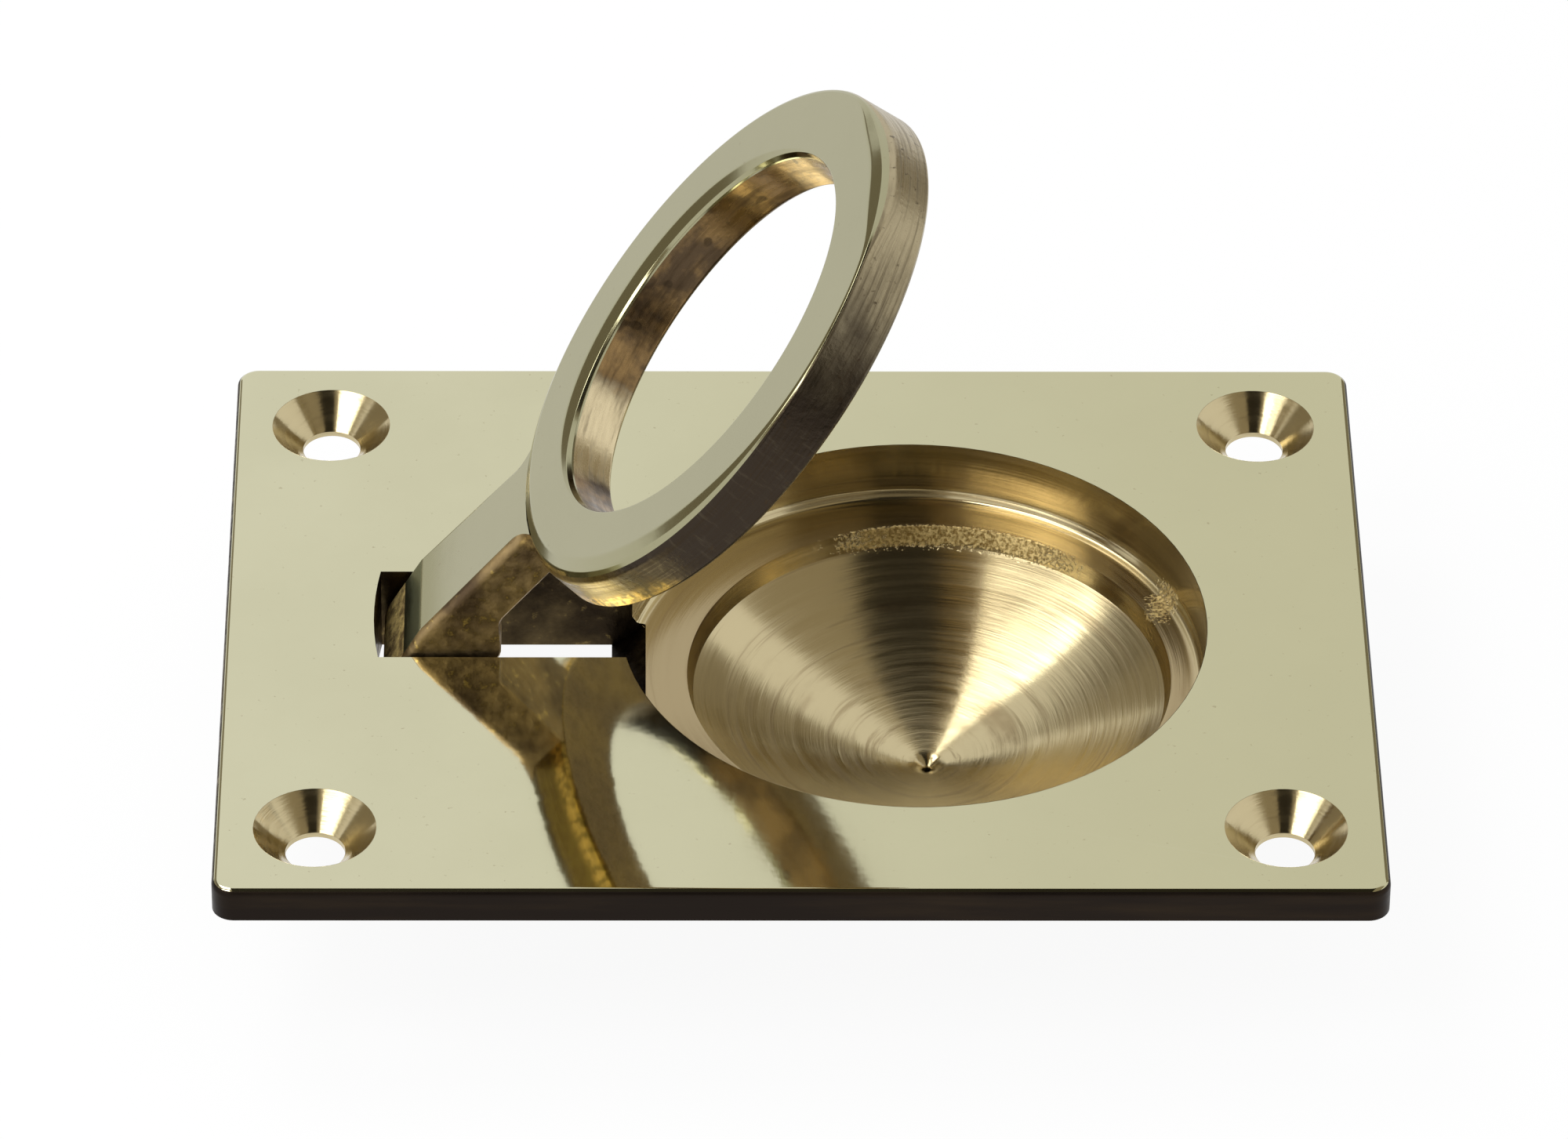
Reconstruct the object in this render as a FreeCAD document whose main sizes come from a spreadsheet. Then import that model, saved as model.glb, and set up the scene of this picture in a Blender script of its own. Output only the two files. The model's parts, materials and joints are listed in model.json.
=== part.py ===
"""Flush ring pull: a cast plate with a turned cup, a ring with its tongue, and the hinge pin.

The frame has its origin at the middle of the four screw holes, on the plate's seating face.
+X runs from the hinge towards the free side of the ring, +Z out of the surface that the plate
is let into. The ring is drawn lying flat about its own hinge axis, then lifted about that axis.
"""
import FreeCAD, Part
import math
import os
from types import SimpleNamespace

import Sketcher

SIZES = (
    ("plate_length", 63.5, "plate, along X"),
    ("plate_width", 47.0, "plate, along Y"),
    ("plate_thick", 2.0, "plate edge"),
    ("corner_radius", 1.2, "plate corners, seen from above"),
    ("edge_round", 0.4, "polished edge round the plate's face"),
    ("screw_inset", 5.45, "screw holes, centre to the plate's edges"),
    ("screw_hole_diameter", 3.3, "clearance hole for the screw"),
    ("sink_diameter", 6.7, "countersink at the plate's face"),
    ("sink_angle", 90.0, "countersink, full angle in degrees"),
    ("recess_x", 6.5, "middle of the recess, from the middle of the plate"),
    ("ring_play", 0.15, "ring's middle beyond the recess's, ring flat"),
    ("ring_radius", 15.65, "ring, outside, at its underside"),
    ("ring_hole_radius", 11.3, "finger hole, below its bevel"),
    ("ring_thick", 3.15, "ring, face to underside"),
    ("ring_draft", 0.2, "lean of the rim below its buffed slope"),
    ("ring_slope_run", 0.4, "buffed slope round the ring's face, its width"),
    ("ring_slope_drop", 0.6, "buffed slope round the ring's face, its height"),
    ("ring_edge_run", 0.55, "soft edge between face and slope, its width"),
    ("ring_edge_drop", 0.2, "soft edge between face and slope, its height"),
    ("ring_back_bevel", 0.2, "bevels at the ring's underside"),
    ("hole_draft", 0.2, "how much narrower the finger hole is at the underside"),
    ("hole_bevel_run", 0.25, "bevel round the finger hole, its width"),
    ("hole_bevel_drop", 0.4, "bevel round the finger hole, its height"),
    ("ring_side_gap", 0.65, "ring to recess wall, ring in the middle"),
    ("ring_floor_gap", 0.6, "ring to ledge"),
    ("ring_lift", 50.2, "how far the ring stands raised, in degrees"),
    ("hinge_arm", 27.55, "hinge axis to the middle of the ring"),
    ("hinge_depth", 2.95, "hinge axis below the plate's face, and below the ring's face"),
    ("hinge_shift", 0.65, "slot, tongue and pin off the plate's middle line, towards +Y"),
    ("pin_diameter", 2.0, "hinge pin"),
    ("pin_play", 0.05, "ring's bore over the pin, on the radius"),
    ("pin_chamfer", 0.25, "ends of the pin"),
    ("hub_radius", 2.1, "round end of the tongue, about the hinge axis"),
    ("tongue_ramp", 10.5, "fall of the tongue's top towards the hub, in degrees"),
    ("tongue_drop", 0.2, "tongue's top below the ring's face"),
    ("tongue_thick", 2.9, "tongue, top to underside"),
    ("tongue_width", 7.4, "tongue at the hinge"),
    ("neck_width", 6.6, "tongue where it meets the ring"),
    ("tongue_side_gap", 0.15, "tongue to each side of the slot"),
    ("tongue_edge_bevel", 0.4, "bevels along the tongue's top"),
    ("tongue_end_wall", 0.6, "metal between the tongue's end, inside the ring, and the finger hole"),
    ("neck_fillet", 0.9, "corner between tongue and rim"),
    ("heel_reach", 6.7, "hinge axis to the top of the heel's slope"),
    ("heel_sole", 4.9, "straight sole from the hub to the heel's tip"),
    ("heel_sole_angle", 5.0, "rise of the sole, in degrees"),
    ("heel_tip_round", 0.8, "round at the heel's tip"),
    ("heel_fillet", 1.0, "fillet under the tongue"),
    ("slot_end_gap", 0.2, "hub to the slot's closed end"),
    ("slot_end_bow", 0.3, "how far the slot's closed end bows outwards"),
    ("slot_dish_wall", 2.3, "ledge left between slot and dish"),
    ("slot_ramp_run", 1.9, "lean of the slot's open end"),
    ("housing_depth", 5.2, "slot housing below the plate's face"),
    ("housing_wall", 3.1, "housing beside the slot"),
    ("housing_end_wall", 1.9, "housing beyond the slot's closed end"),
    ("housing_corner", 1.2, "upright corners of the housing"),
    ("ear_wall", 1.8, "metal round the pin hole"),
    ("cup_wall", 1.7, "cup wall beside the recess"),
    ("cup_skirt", 2.6, "upright part of the cup below the plate"),
    ("cup_floor", 1.5, "metal under the middle of the dish"),
    ("cup_flat_radius", 4.5, "flat at the bottom of the cup"),
    ("recess_bevel", 0.4, "turned corner between recess wall and ledge"),
    ("dish_offset", 0.9, "dish beyond the middle of the ring"),
    ("dish_radius", 13.5, "dish at the ledge"),
    ("dish_depth", 10.2, "middle of the dish below the plate's face"),
    ("dish_lip_drop", 1.1, "steep band at the dish's rim, its height"),
    ("dish_lip_run", 0.35, "steep band at the dish's rim, its width"),
    ("dish_curve_radius", 48.0, "curve of the dish"),
    ("drill_mark_radius", 0.7, "drill mark in the middle of the dish"),
    ("drill_mark_depth", 0.6, "drill mark in the middle of the dish"),
)


class Length:
    """A number together with the expression that gives it on the sheet."""

    def __init__(self, number, text):
        self.number = number
        self.text = text

    def joined(self, sign, other, number):
        return Length(number, "(%s %s %s)" % (self.text, sign, other.text))

    def __add__(self, other):
        other = as_length(other)
        return self.joined("+", other, self.number + other.number)

    def __sub__(self, other):
        other = as_length(other)
        return self.joined("-", other, self.number - other.number)

    def __mul__(self, other):
        other = as_length(other)
        return self.joined("*", other, self.number * other.number)

    def __truediv__(self, other):
        other = as_length(other)
        return self.joined("/", other, self.number / other.number)

    def __neg__(self):
        return Length(-self.number, "(-1 * %s)" % self.text)


def as_length(value):
    """Leave a Length as it is and wrap a plain number."""
    return value if isinstance(value, Length) else Length(value, repr(value))


def trig(name, angle):
    """Sine, cosine or tangent of an angle in degrees."""
    number = getattr(math, name)(math.radians(angle.number))
    return Length(number, "%s(%s * 1 deg)" % (name, angle.text))


dim = SimpleNamespace(**{alias: Length(number, "Sizes." + alias) for alias, number, note in SIZES})

# Places worked out from the sizes. Heights are above the seating face.
zero = as_length(0.0)
face_z = dim.plate_thick
ledge_z = face_z - dim.ring_thick - dim.ring_floor_gap
hinge_x = dim.recess_x + dim.ring_play - dim.hinge_arm
hinge_z = face_z - dim.hinge_depth
tongue_top = dim.hinge_depth - dim.tongue_drop
recess_radius = dim.ring_radius + dim.ring_side_gap
cup_radius = recess_radius + dim.cup_wall
cup_bottom_z = face_z - dim.dish_depth - dim.cup_floor
dish_x = dim.recess_x + dim.dish_offset
slot_half = dim.tongue_width / 2 + dim.tongue_side_gap
slot_end_x = hinge_x - dim.hub_radius - dim.slot_end_gap
slot_ledge_x = dish_x - dim.dish_radius - dim.slot_dish_wall
slot_floor_x = slot_ledge_x - dim.slot_ramp_run
housing_half = slot_half + dim.housing_wall
housing_z = face_z - dim.housing_depth
pin_radius = dim.pin_diameter / 2

doc = FreeCAD.newDocument("ring_pull_handle")


def make_sheet():
    """Put every driving size into the sheet, one alias a row."""
    sheet = doc.addObject("Spreadsheet::Sheet", "Sizes")
    for row, (alias, number, note) in enumerate(SIZES, start=1):
        sheet.set("A%d" % row, alias)
        sheet.set("B%d" % row, str(number))
        sheet.set("C%d" % row, note)
        sheet.setAlias("B%d" % row, alias)
    doc.recompute()


def new_body(label):
    """A body whose label names its file."""
    body = doc.addObject("PartDesign::Body", label)
    body.Label = label
    return body


def new_sketch(body, role, name, height=None, shift=None):
    """A sketch on one of the body's own origin planes, raised along its normal or shifted up if asked."""
    plane = next(item for item in body.Origin.OriginFeatures if item.Role == role)
    sketch = body.newObject("Sketcher::SketchObject", name)
    sketch.AttachmentSupport = [(plane, "")]
    sketch.MapMode = "FlatFace"
    if height is not None:
        sketch.setExpression("AttachmentOffset.Base.z", height.text)
    if shift is not None:
        sketch.setExpression("AttachmentOffset.Base.y", shift.text)
    return sketch


def new_side_sketch(body, name):
    """An upright sketch on the middle plane of slot and tongue, whose normal points to -Y."""
    return new_sketch(body, "XZ_Plane", name, height=-dim.hinge_shift)


def bind(sketch, constraint, length):
    """Add one dimension to a sketch and tie it to the sheet."""
    index = sketch.addConstraint(constraint)
    sketch.setExpression("Constraints[%d]" % index, length.text)


def bind_point(sketch, geometry, end, across, up):
    """Hold one point of the sketch at its distances from the sketch's origin."""
    kinds = (("DistanceX", across), ("DistanceY", up))
    for kind, length in kinds:
        bind(sketch, Sketcher.Constraint(kind, -1, 1, geometry, end, length.number), length)


def bulged_arc(start, end, radius):
    """The short arc from start to end that bulges to the right of its way."""
    way = end - start
    half = way.Length / 2
    rise = radius - math.sqrt(radius ** 2 - half ** 2)
    outwards = FreeCAD.Vector(way.y, -way.x, 0).normalize()
    return Part.Arc(start, (start + end) * 0.5 + outwards * rise, end)


class Corner:
    """Where the rounding of one corner of an outline starts and ends."""

    def __init__(self, before, point, after, radius):
        back = (before - point).normalize()
        ahead = (after - point).normalize()
        half_angle = back.getAngle(ahead) / 2
        reach = radius / math.tan(half_angle)
        middle = point + (back + ahead).normalize() * (radius / math.sin(half_angle))
        self.entry = point + back * reach
        self.leave = point + ahead * reach
        self.crown = middle + (point - middle).normalize() * radius
        self.is_hollow = back.cross(ahead).z > 0

    def arc(self):
        """The rounding, drawn anticlockwise, so backwards at a hollow corner."""
        if self.is_hollow:
            return Part.Arc(self.leave, self.crown, self.entry)
        return Part.Arc(self.entry, self.crown, self.leave)


def draw_outline(sketch, corners, bulges=(), rounds=()):
    """A closed outline through corners, anticlockwise, each corner a pair of lengths.

    bulges gives the radius of each side that is an arc bulging outwards, by the side's number, and
    rounds the radius of each corner that is rounded, by the corner's number.
    """
    bulges = dict(bulges)
    rounds = dict(rounds)
    count = len(corners)
    points = [FreeCAD.Vector(across.number, up.number, 0) for across, up in corners]
    rounded = {}
    for number, radius in rounds.items():
        rounded[number] = Corner(points[number - 1], points[number], points[(number + 1) % count],
                                 radius.number)
    for side, start in enumerate(points):
        following = (side + 1) % count
        leave = rounded[side].leave if side in rounded else start
        entry = rounded[following].entry if following in rounded else points[following]
        if side in bulges:
            sketch.addGeometry(bulged_arc(leave, entry, bulges[side].number), False)
        else:
            sketch.addGeometry(Part.LineSegment(leave, entry), False)
    for number, (across, up) in enumerate(corners):
        arriving = (number - 1) % count
        if number in rounded:
            round_corner(sketch, arriving, number, rounded[number], rounds[number], across, up)
        else:
            sketch.addConstraint(Sketcher.Constraint("Coincident", arriving, 2, number, 1))
            bind_point(sketch, number, 1, across, up)
    for side, radius in bulges.items():
        bind(sketch, Sketcher.Constraint("Radius", side, radius.number), radius)


def round_corner(sketch, arriving, leaving, corner, radius, across, up):
    """Round one corner: both sides aim at the sharp corner's point, and an arc touches them."""
    sharp = sketch.addGeometry(Part.Point(FreeCAD.Vector(across.number, up.number, 0)), True)
    bind_point(sketch, sharp, 1, across, up)
    for side in (arriving, leaving):
        sketch.addConstraint(Sketcher.Constraint("PointOnObject", sharp, 1, side))
    arc = sketch.addGeometry(corner.arc(), False)
    first, last = (2, 1) if corner.is_hollow else (1, 2)
    sketch.addConstraint(Sketcher.Constraint("Tangent", arriving, 2, arc, first))
    sketch.addConstraint(Sketcher.Constraint("Tangent", arc, last, leaving, 1))
    bind(sketch, Sketcher.Constraint("Radius", arc, radius.number), radius)


def draw_rectangle(sketch, low_x, high_x, half_width, bulges=(), rounds=()):
    """An outline that is even about the X axis."""
    draw_outline(sketch, [(low_x, -half_width), (high_x, -half_width),
                          (high_x, half_width), (low_x, half_width)], bulges, rounds)


def draw_axis(sketch, across):
    """An upright construction line to turn a profile about."""
    foot = FreeCAD.Vector(across.number, 0, 0)
    index = sketch.addGeometry(Part.LineSegment(foot, foot + FreeCAD.Vector(0, 1, 0)), True)
    bind_point(sketch, index, 1, across, zero)
    bind_point(sketch, index, 2, across, zero + 1)


def draw_circle(sketch, across, up, radius):
    """A circle from its centre and radius."""
    centre = FreeCAD.Vector(across.number, up.number, 0)
    index = sketch.addGeometry(Part.Circle(centre, FreeCAD.Vector(0, 0, 1), radius.number), False)
    bind_point(sketch, index, 3, across, up)
    bind(sketch, Sketcher.Constraint("Radius", index, radius.number), radius)


def pad(body, sketch, name, length, both_sides=False, downwards=False):
    """Push a sketch out by a length."""
    feature = body.newObject("PartDesign::Pad", name)
    feature.Profile = sketch
    feature.Midplane = both_sides
    feature.Reversed = downwards
    feature.setExpression("Length", length.text)
    doc.recompute()
    return feature


def cut(body, sketch, name, length=None):
    """Cut a sketch away evenly to both sides of its plane, by a length or right through."""
    before = body.Shape.Volume
    feature = body.newObject("PartDesign::Pocket", name)
    feature.Profile = sketch
    feature.Midplane = True
    if length is None:
        feature.Type = "ThroughAll"
    else:
        feature.setExpression("Length", length.text)
    doc.recompute()
    check_cut(body, before, name)
    return feature


def turn(body, sketch, name, kind="Revolution"):
    """Turn a profile about the sketch's construction line."""
    before = body.Shape.Volume if body.Tip else 0.0
    feature = body.newObject("PartDesign::" + kind, name)
    feature.Profile = sketch
    feature.ReferenceAxis = (sketch, ["Axis0"])
    feature.Angle = 360.0
    doc.recompute()
    if kind == "Groove":
        check_cut(body, before, name)
    return feature


def check_cut(body, before, name):
    """Stop if a cut took nothing away."""
    if not body.Shape.Volume < before:
        raise RuntimeError(name + " cut nothing away")


def dress_edges(body, name, chosen, size, kind="Fillet"):
    """Fillet or chamfer those edges of the body's shape that pass the test."""
    base = body.Tip
    names = ["Edge%d" % number for number, edge in enumerate(base.Shape.Edges, start=1) if chosen(edge)]
    if not names:
        raise RuntimeError(name + " found no edges")
    feature = body.newObject("PartDesign::" + kind, name)
    feature.Base = (base, names)
    feature.setExpression("Radius" if kind == "Fillet" else "Size", size.text)
    doc.recompute()
    return feature


def is_near(first, second, slack=1e-4):
    """True where two numbers agree."""
    return abs(first - second) < slack


def is_flat_at(edge, height):
    """True for an edge that lies wholly at one height."""
    return is_near(edge.BoundBox.ZMin, height.number) and is_near(edge.BoundBox.ZMax, height.number)


def is_round(edge, radius):
    """True for a circular edge of one radius."""
    return isinstance(edge.Curve, Part.Circle) and is_near(edge.Curve.Radius, radius.number)


def build_plate():
    """The cast plate with its cup, slot housing, turned recess and dish, and screw holes."""
    body = new_body("plate_body")
    cast_plate(body)
    cast_cup(body)
    cast_housing(body)
    turn_recess(body)
    turn_dish(body)
    cut_slot(body)
    drill_pin_hole(body)
    drill_screw_holes(body)
    return body


def cast_plate(body):
    """A flat plate with small corners and a rounded edge round its face."""
    plan = new_sketch(body, "XY_Plane", "plate_plan")
    draw_rectangle(plan, -dim.plate_length / 2, dim.plate_length / 2, dim.plate_width / 2,
                   rounds={number: dim.corner_radius for number in range(4)})
    pad(body, plan, "plate", dim.plate_thick)
    dress_edges(body, "plate_edge", lambda edge: is_flat_at(edge, face_z), dim.edge_round)


def cast_cup(body):
    """A round cup under the plate, upright at first and then a cone down to a small flat."""
    profile = new_sketch(body, "XZ_Plane", "cup_profile")
    middle = dim.recess_x
    top = face_z / 2
    draw_outline(profile, [(middle, top),
                           (middle, cup_bottom_z),
                           (middle + dim.cup_flat_radius, cup_bottom_z),
                           (middle + cup_radius, -dim.cup_skirt),
                           (middle + cup_radius, top)])
    draw_axis(profile, middle)
    turn(body, profile, "cup")


def cast_housing(body):
    """A block round the slot, with rounded ears where the pin runs."""
    plan = new_sketch(body, "XY_Plane", "housing_plan", shift=dim.hinge_shift)
    draw_rectangle(plan, slot_end_x - dim.housing_end_wall, slot_ledge_x, housing_half,
                   rounds={0: dim.housing_corner, 3: dim.housing_corner})
    pad(body, plan, "slot_housing", dim.housing_depth - dim.plate_thick, downwards=True)
    ears = new_side_sketch(body, "ear_profile")
    draw_circle(ears, hinge_x, hinge_z, pin_radius + dim.ear_wall)
    pad(body, ears, "pin_ears", housing_half * 2, both_sides=True)


def turn_recess(body):
    """The round recess that the ring lies in, with a turned corner at its ledge."""
    profile = new_sketch(body, "XZ_Plane", "recess_profile")
    middle = dim.recess_x
    above = face_z + 1
    draw_outline(profile, [(middle, ledge_z), (middle + recess_radius - dim.recess_bevel, ledge_z),
                           (middle + recess_radius, ledge_z + dim.recess_bevel),
                           (middle + recess_radius, above), (middle, above)])
    draw_axis(profile, middle)
    turn(body, profile, "recess", "Groove")


def turn_dish(body):
    """The finger dish: a steep band at its rim, a shallow curve, and the drill's mark in the middle."""
    profile = new_sketch(body, "XZ_Plane", "dish_profile")
    bottom = face_z - dim.dish_depth
    rim_x = dish_x + dim.dish_radius
    above = face_z + 1
    draw_outline(profile, [(dish_x, bottom - dim.drill_mark_depth),
                           (dish_x + dim.drill_mark_radius, bottom),
                           (rim_x - dim.dish_lip_run, ledge_z - dim.dish_lip_drop),
                           (rim_x, ledge_z), (rim_x, above), (dish_x, above)],
                 bulges={1: dim.dish_curve_radius})
    draw_axis(profile, dish_x)
    turn(body, profile, "dish", "Groove")


def cut_slot(body):
    """The slot, right through, with a bowed closed end and a leaning end towards the dish."""
    bow = dim.slot_end_bow
    bow_radius = (slot_half * slot_half + bow * bow) / (bow * 2)
    plan = new_sketch(body, "XY_Plane", "slot_plan", shift=dim.hinge_shift)
    draw_rectangle(plan, slot_end_x, slot_floor_x, slot_half, bulges={3: bow_radius})
    cut(body, plan, "slot")
    lean = new_side_sketch(body, "slot_lean_profile")
    above = face_z + 1
    inside = slot_floor_x - 1
    draw_outline(lean, [(inside, housing_z), (slot_floor_x, housing_z), (slot_ledge_x, ledge_z),
                        (slot_ledge_x, above), (inside, above)])
    cut(body, lean, "slot_lean", slot_half * 2)


def drill_pin_hole(body):
    """The hole across the housing that grips the pin."""
    profile = new_side_sketch(body, "pin_hole_profile")
    draw_circle(profile, hinge_x, hinge_z, pin_radius)
    cut(body, profile, "pin_hole", housing_half * 2 + 1)


def drill_screw_holes(body):
    """Four countersunk holes, one near each corner."""
    plan = new_sketch(body, "XY_Plane", "screw_hole_plan", height=face_z)
    across = dim.plate_length / 2 - dim.screw_inset
    up = dim.plate_width / 2 - dim.screw_inset
    for centre_x in (-across, across):
        for centre_y in (-up, up):
            draw_circle(plan, centre_x, centre_y, dim.screw_hole_diameter / 2)
    doc.recompute()
    before = body.Shape.Volume
    holes = body.newObject("PartDesign::Hole", "screw_holes")
    holes.Profile = plan
    holes.DepthType = "ThroughAll"
    holes.HoleCutType = "Countersink"
    holes.HoleCutCustomValues = True
    holes.setExpression("Diameter", dim.screw_hole_diameter.text)
    holes.setExpression("HoleCutDiameter", dim.sink_diameter.text)
    holes.setExpression("HoleCutCountersinkAngle", dim.sink_angle.text)
    doc.recompute()
    check_cut(body, before, "screw_holes")


def build_ring():
    """Ring, tongue and heel in one casting, drawn flat about the hinge axis and then lifted."""
    body = new_body("ring")
    cast_tongue(body)
    cast_ring(body)
    bore_hub(body)
    body.Placement = FreeCAD.Placement(FreeCAD.Vector(hinge_x.number, 0, hinge_z.number),
                                       FreeCAD.Rotation(FreeCAD.Vector(0, -1, 0), dim.ring_lift.number))
    body.setExpression("Placement.Base.x", hinge_x.text)
    body.setExpression("Placement.Base.z", hinge_z.text)
    body.setExpression("Placement.Rotation.Angle", dim.ring_lift.text)
    doc.recompute()
    return body


def cast_tongue(body):
    """A round hub on the hinge axis, a tongue whose top ramps down to it, and a heel with a rounded tip."""
    width = dim.neck_width + dim.neck_fillet * 4
    hub = new_side_sketch(body, "hub_profile")
    draw_circle(hub, zero, zero, dim.hub_radius)
    pad(body, hub, "hub", width, both_sides=True)

    ramp_run, ramp_rise = trig("cos", dim.tongue_ramp), trig("sin", dim.tongue_ramp)
    crease_x = (tongue_top * ramp_run - dim.hub_radius) / ramp_rise
    end_x = dim.hinge_arm - dim.ring_hole_radius - dim.tongue_end_wall
    under = tongue_top - dim.tongue_thick
    sole_run, sole_rise = trig("cos", dim.heel_sole_angle), trig("sin", dim.heel_sole_angle)
    sole_x = dim.hub_radius * sole_rise
    sole_z = -dim.hub_radius * sole_run
    tongue = new_side_sketch(body, "tongue_profile")
    draw_outline(tongue, [(sole_x, sole_z),
                          (sole_x + dim.heel_sole * sole_run, sole_z + dim.heel_sole * sole_rise),
                          (dim.heel_reach, under),
                          (end_x, under), (end_x, tongue_top), (crease_x, tongue_top),
                          (-dim.hub_radius * ramp_rise, dim.hub_radius * ramp_run), (zero, zero)],
                 rounds={1: dim.heel_tip_round, 2: dim.heel_fillet})
    pad(body, tongue, "tongue", width, both_sides=True)
    taper_tongue(body)
    dress_edges(body, "tongue_bevels", is_tongue_brim, dim.tongue_edge_bevel, "Chamfer")


def taper_tongue(body):
    """Trim both sides to a slight taper that flares out where it runs into the ring's rim."""
    start_x = -dim.hub_radius - 1
    neck_x = dim.hinge_arm - dim.ring_radius + dim.neck_fillet / 2
    half = dim.neck_width / 2
    plan = new_sketch(body, "XY_Plane", "taper_plan", shift=dim.hinge_shift)
    draw_outline(plan, [(start_x, dim.tongue_width / 2), (neck_x, half),
                        (neck_x + dim.neck_fillet, half + dim.neck_fillet * 3),
                        (start_x, half + dim.neck_fillet * 3)],
                 rounds={1: dim.neck_fillet})
    cut(body, plan, "taper_far_side")
    mirror = body.newObject("PartDesign::Mirrored", "taper_near_side")
    mirror.Originals = [body.Tip]
    mirror.MirrorPlane = (plan, ["H_Axis"])
    body.Tip = mirror
    doc.recompute()


def is_tongue_brim(edge):
    """True for the two long edges of the tongue's top."""
    box = edge.BoundBox
    return is_flat_at(edge, tongue_top) and box.XLength > dim.hub_radius.number > box.YLength


def cast_ring(body):
    """The flat ring: its section turned about the middle of the finger hole."""
    section = new_sketch(body, "XZ_Plane", "ring_section")
    hole_x = dim.hinge_arm + dim.ring_hole_radius
    rim_x = dim.hinge_arm + dim.ring_radius
    slope_x = rim_x - dim.ring_draft
    edge_x = slope_x - dim.ring_slope_run
    top = dim.hinge_depth
    under = top - dim.ring_thick
    edge_z = top - dim.ring_edge_drop
    back = dim.ring_back_bevel
    draw_outline(section, [(hole_x - dim.hole_draft + back, under), (rim_x - back, under),
                           (rim_x, under + back), (slope_x, edge_z - dim.ring_slope_drop),
                           (edge_x, edge_z), (edge_x - dim.ring_edge_run, top),
                           (hole_x + dim.hole_bevel_run, top),
                           (hole_x, top - dim.hole_bevel_drop), (hole_x - dim.hole_draft, under + back)])
    draw_axis(section, dim.hinge_arm)
    turn(body, section, "ring_band")


def bore_hub(body):
    """The bore that turns on the pin."""
    profile = new_side_sketch(body, "bore_profile")
    draw_circle(profile, zero, zero, pin_radius + dim.pin_play)
    cut(body, profile, "bore", dim.tongue_width + 1)


def build_pin():
    """The plain hinge pin, driven in across the housing, with its ends flush."""
    body = new_body("hinge_pin")
    profile = new_side_sketch(body, "pin_profile")
    draw_circle(profile, zero, zero, pin_radius)
    pad(body, profile, "pin", housing_half * 2, both_sides=True)
    dress_edges(body, "pin_ends", lambda edge: is_round(edge, pin_radius), dim.pin_chamfer, "Chamfer")
    body.setExpression("Placement.Base.x", hinge_x.text)
    body.setExpression("Placement.Base.z", hinge_z.text)
    doc.recompute()
    return body


def check_model(bodies):
    """Stop if any object failed to build or any piece isn't one sound solid."""
    for item in doc.Objects:
        if "Invalid" in item.State or "Error" in item.State:
            raise RuntimeError(item.Name + " failed to build")
    for body in bodies:
        shape = body.Shape
        if shape.isNull() or not shape.isValid() or len(shape.Solids) != 1:
            raise RuntimeError(body.Label + " isn't one sound solid")


def write_parts(bodies):
    """Write each piece to a file named after it."""
    os.makedirs("parts", exist_ok=True)
    for body in bodies:
        body.Shape.exportStep("parts/%s.step" % body.Label)
        box = body.Shape.BoundBox
        print("%s  volume %.1f  x %.2f to %.2f  y %.2f to %.2f  z %.2f to %.2f" % (
            body.Label, body.Shape.Volume, box.XMin, box.XMax, box.YMin, box.YMax, box.ZMin, box.ZMax))


make_sheet()
pieces = [build_plate(), build_ring(), build_pin()]
doc.recompute()
check_model(pieces)
write_parts(pieces)
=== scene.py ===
"""Finish and surroundings of a flush ring pull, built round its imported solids.

Lengths are in metres. +X runs from the hinge towards the free side of the ring, +Z out of the plate's
face, and the origin lies in the middle of the four screw holes on the seating face.
"""
import json
import math

import bmesh
import bpy
import numpy as np
from bpy.props import FloatProperty, FloatVectorProperty, PointerProperty
from bpy.types import Operator, Panel, PropertyGroup
from mathutils import Matrix, Vector


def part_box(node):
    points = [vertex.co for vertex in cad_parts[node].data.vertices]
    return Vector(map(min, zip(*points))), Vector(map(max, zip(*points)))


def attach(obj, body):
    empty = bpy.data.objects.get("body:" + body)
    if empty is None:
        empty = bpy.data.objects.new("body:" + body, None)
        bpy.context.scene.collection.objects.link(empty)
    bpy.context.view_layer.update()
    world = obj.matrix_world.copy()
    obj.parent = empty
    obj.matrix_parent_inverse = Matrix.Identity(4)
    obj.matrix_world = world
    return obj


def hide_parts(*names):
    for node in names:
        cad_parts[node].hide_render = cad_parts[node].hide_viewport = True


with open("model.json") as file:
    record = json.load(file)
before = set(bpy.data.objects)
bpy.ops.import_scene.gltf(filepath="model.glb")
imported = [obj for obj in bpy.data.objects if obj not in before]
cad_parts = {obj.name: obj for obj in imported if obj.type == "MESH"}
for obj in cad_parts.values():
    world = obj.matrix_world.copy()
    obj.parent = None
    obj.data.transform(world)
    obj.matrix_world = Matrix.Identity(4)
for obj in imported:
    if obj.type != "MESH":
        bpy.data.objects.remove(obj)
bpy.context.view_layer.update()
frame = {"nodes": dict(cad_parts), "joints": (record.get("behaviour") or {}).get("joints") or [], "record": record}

bl_info = {
    "name": "Ring Pull Finish",
    "version": (1, 0, 0),
    "blender": (4, 5, 0),
    "location": "3D View > Sidebar > Ring Pull",
    "description": "Turned, cast and polished brass surfaces of a flush ring pull",
    "category": "Object",
}

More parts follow.
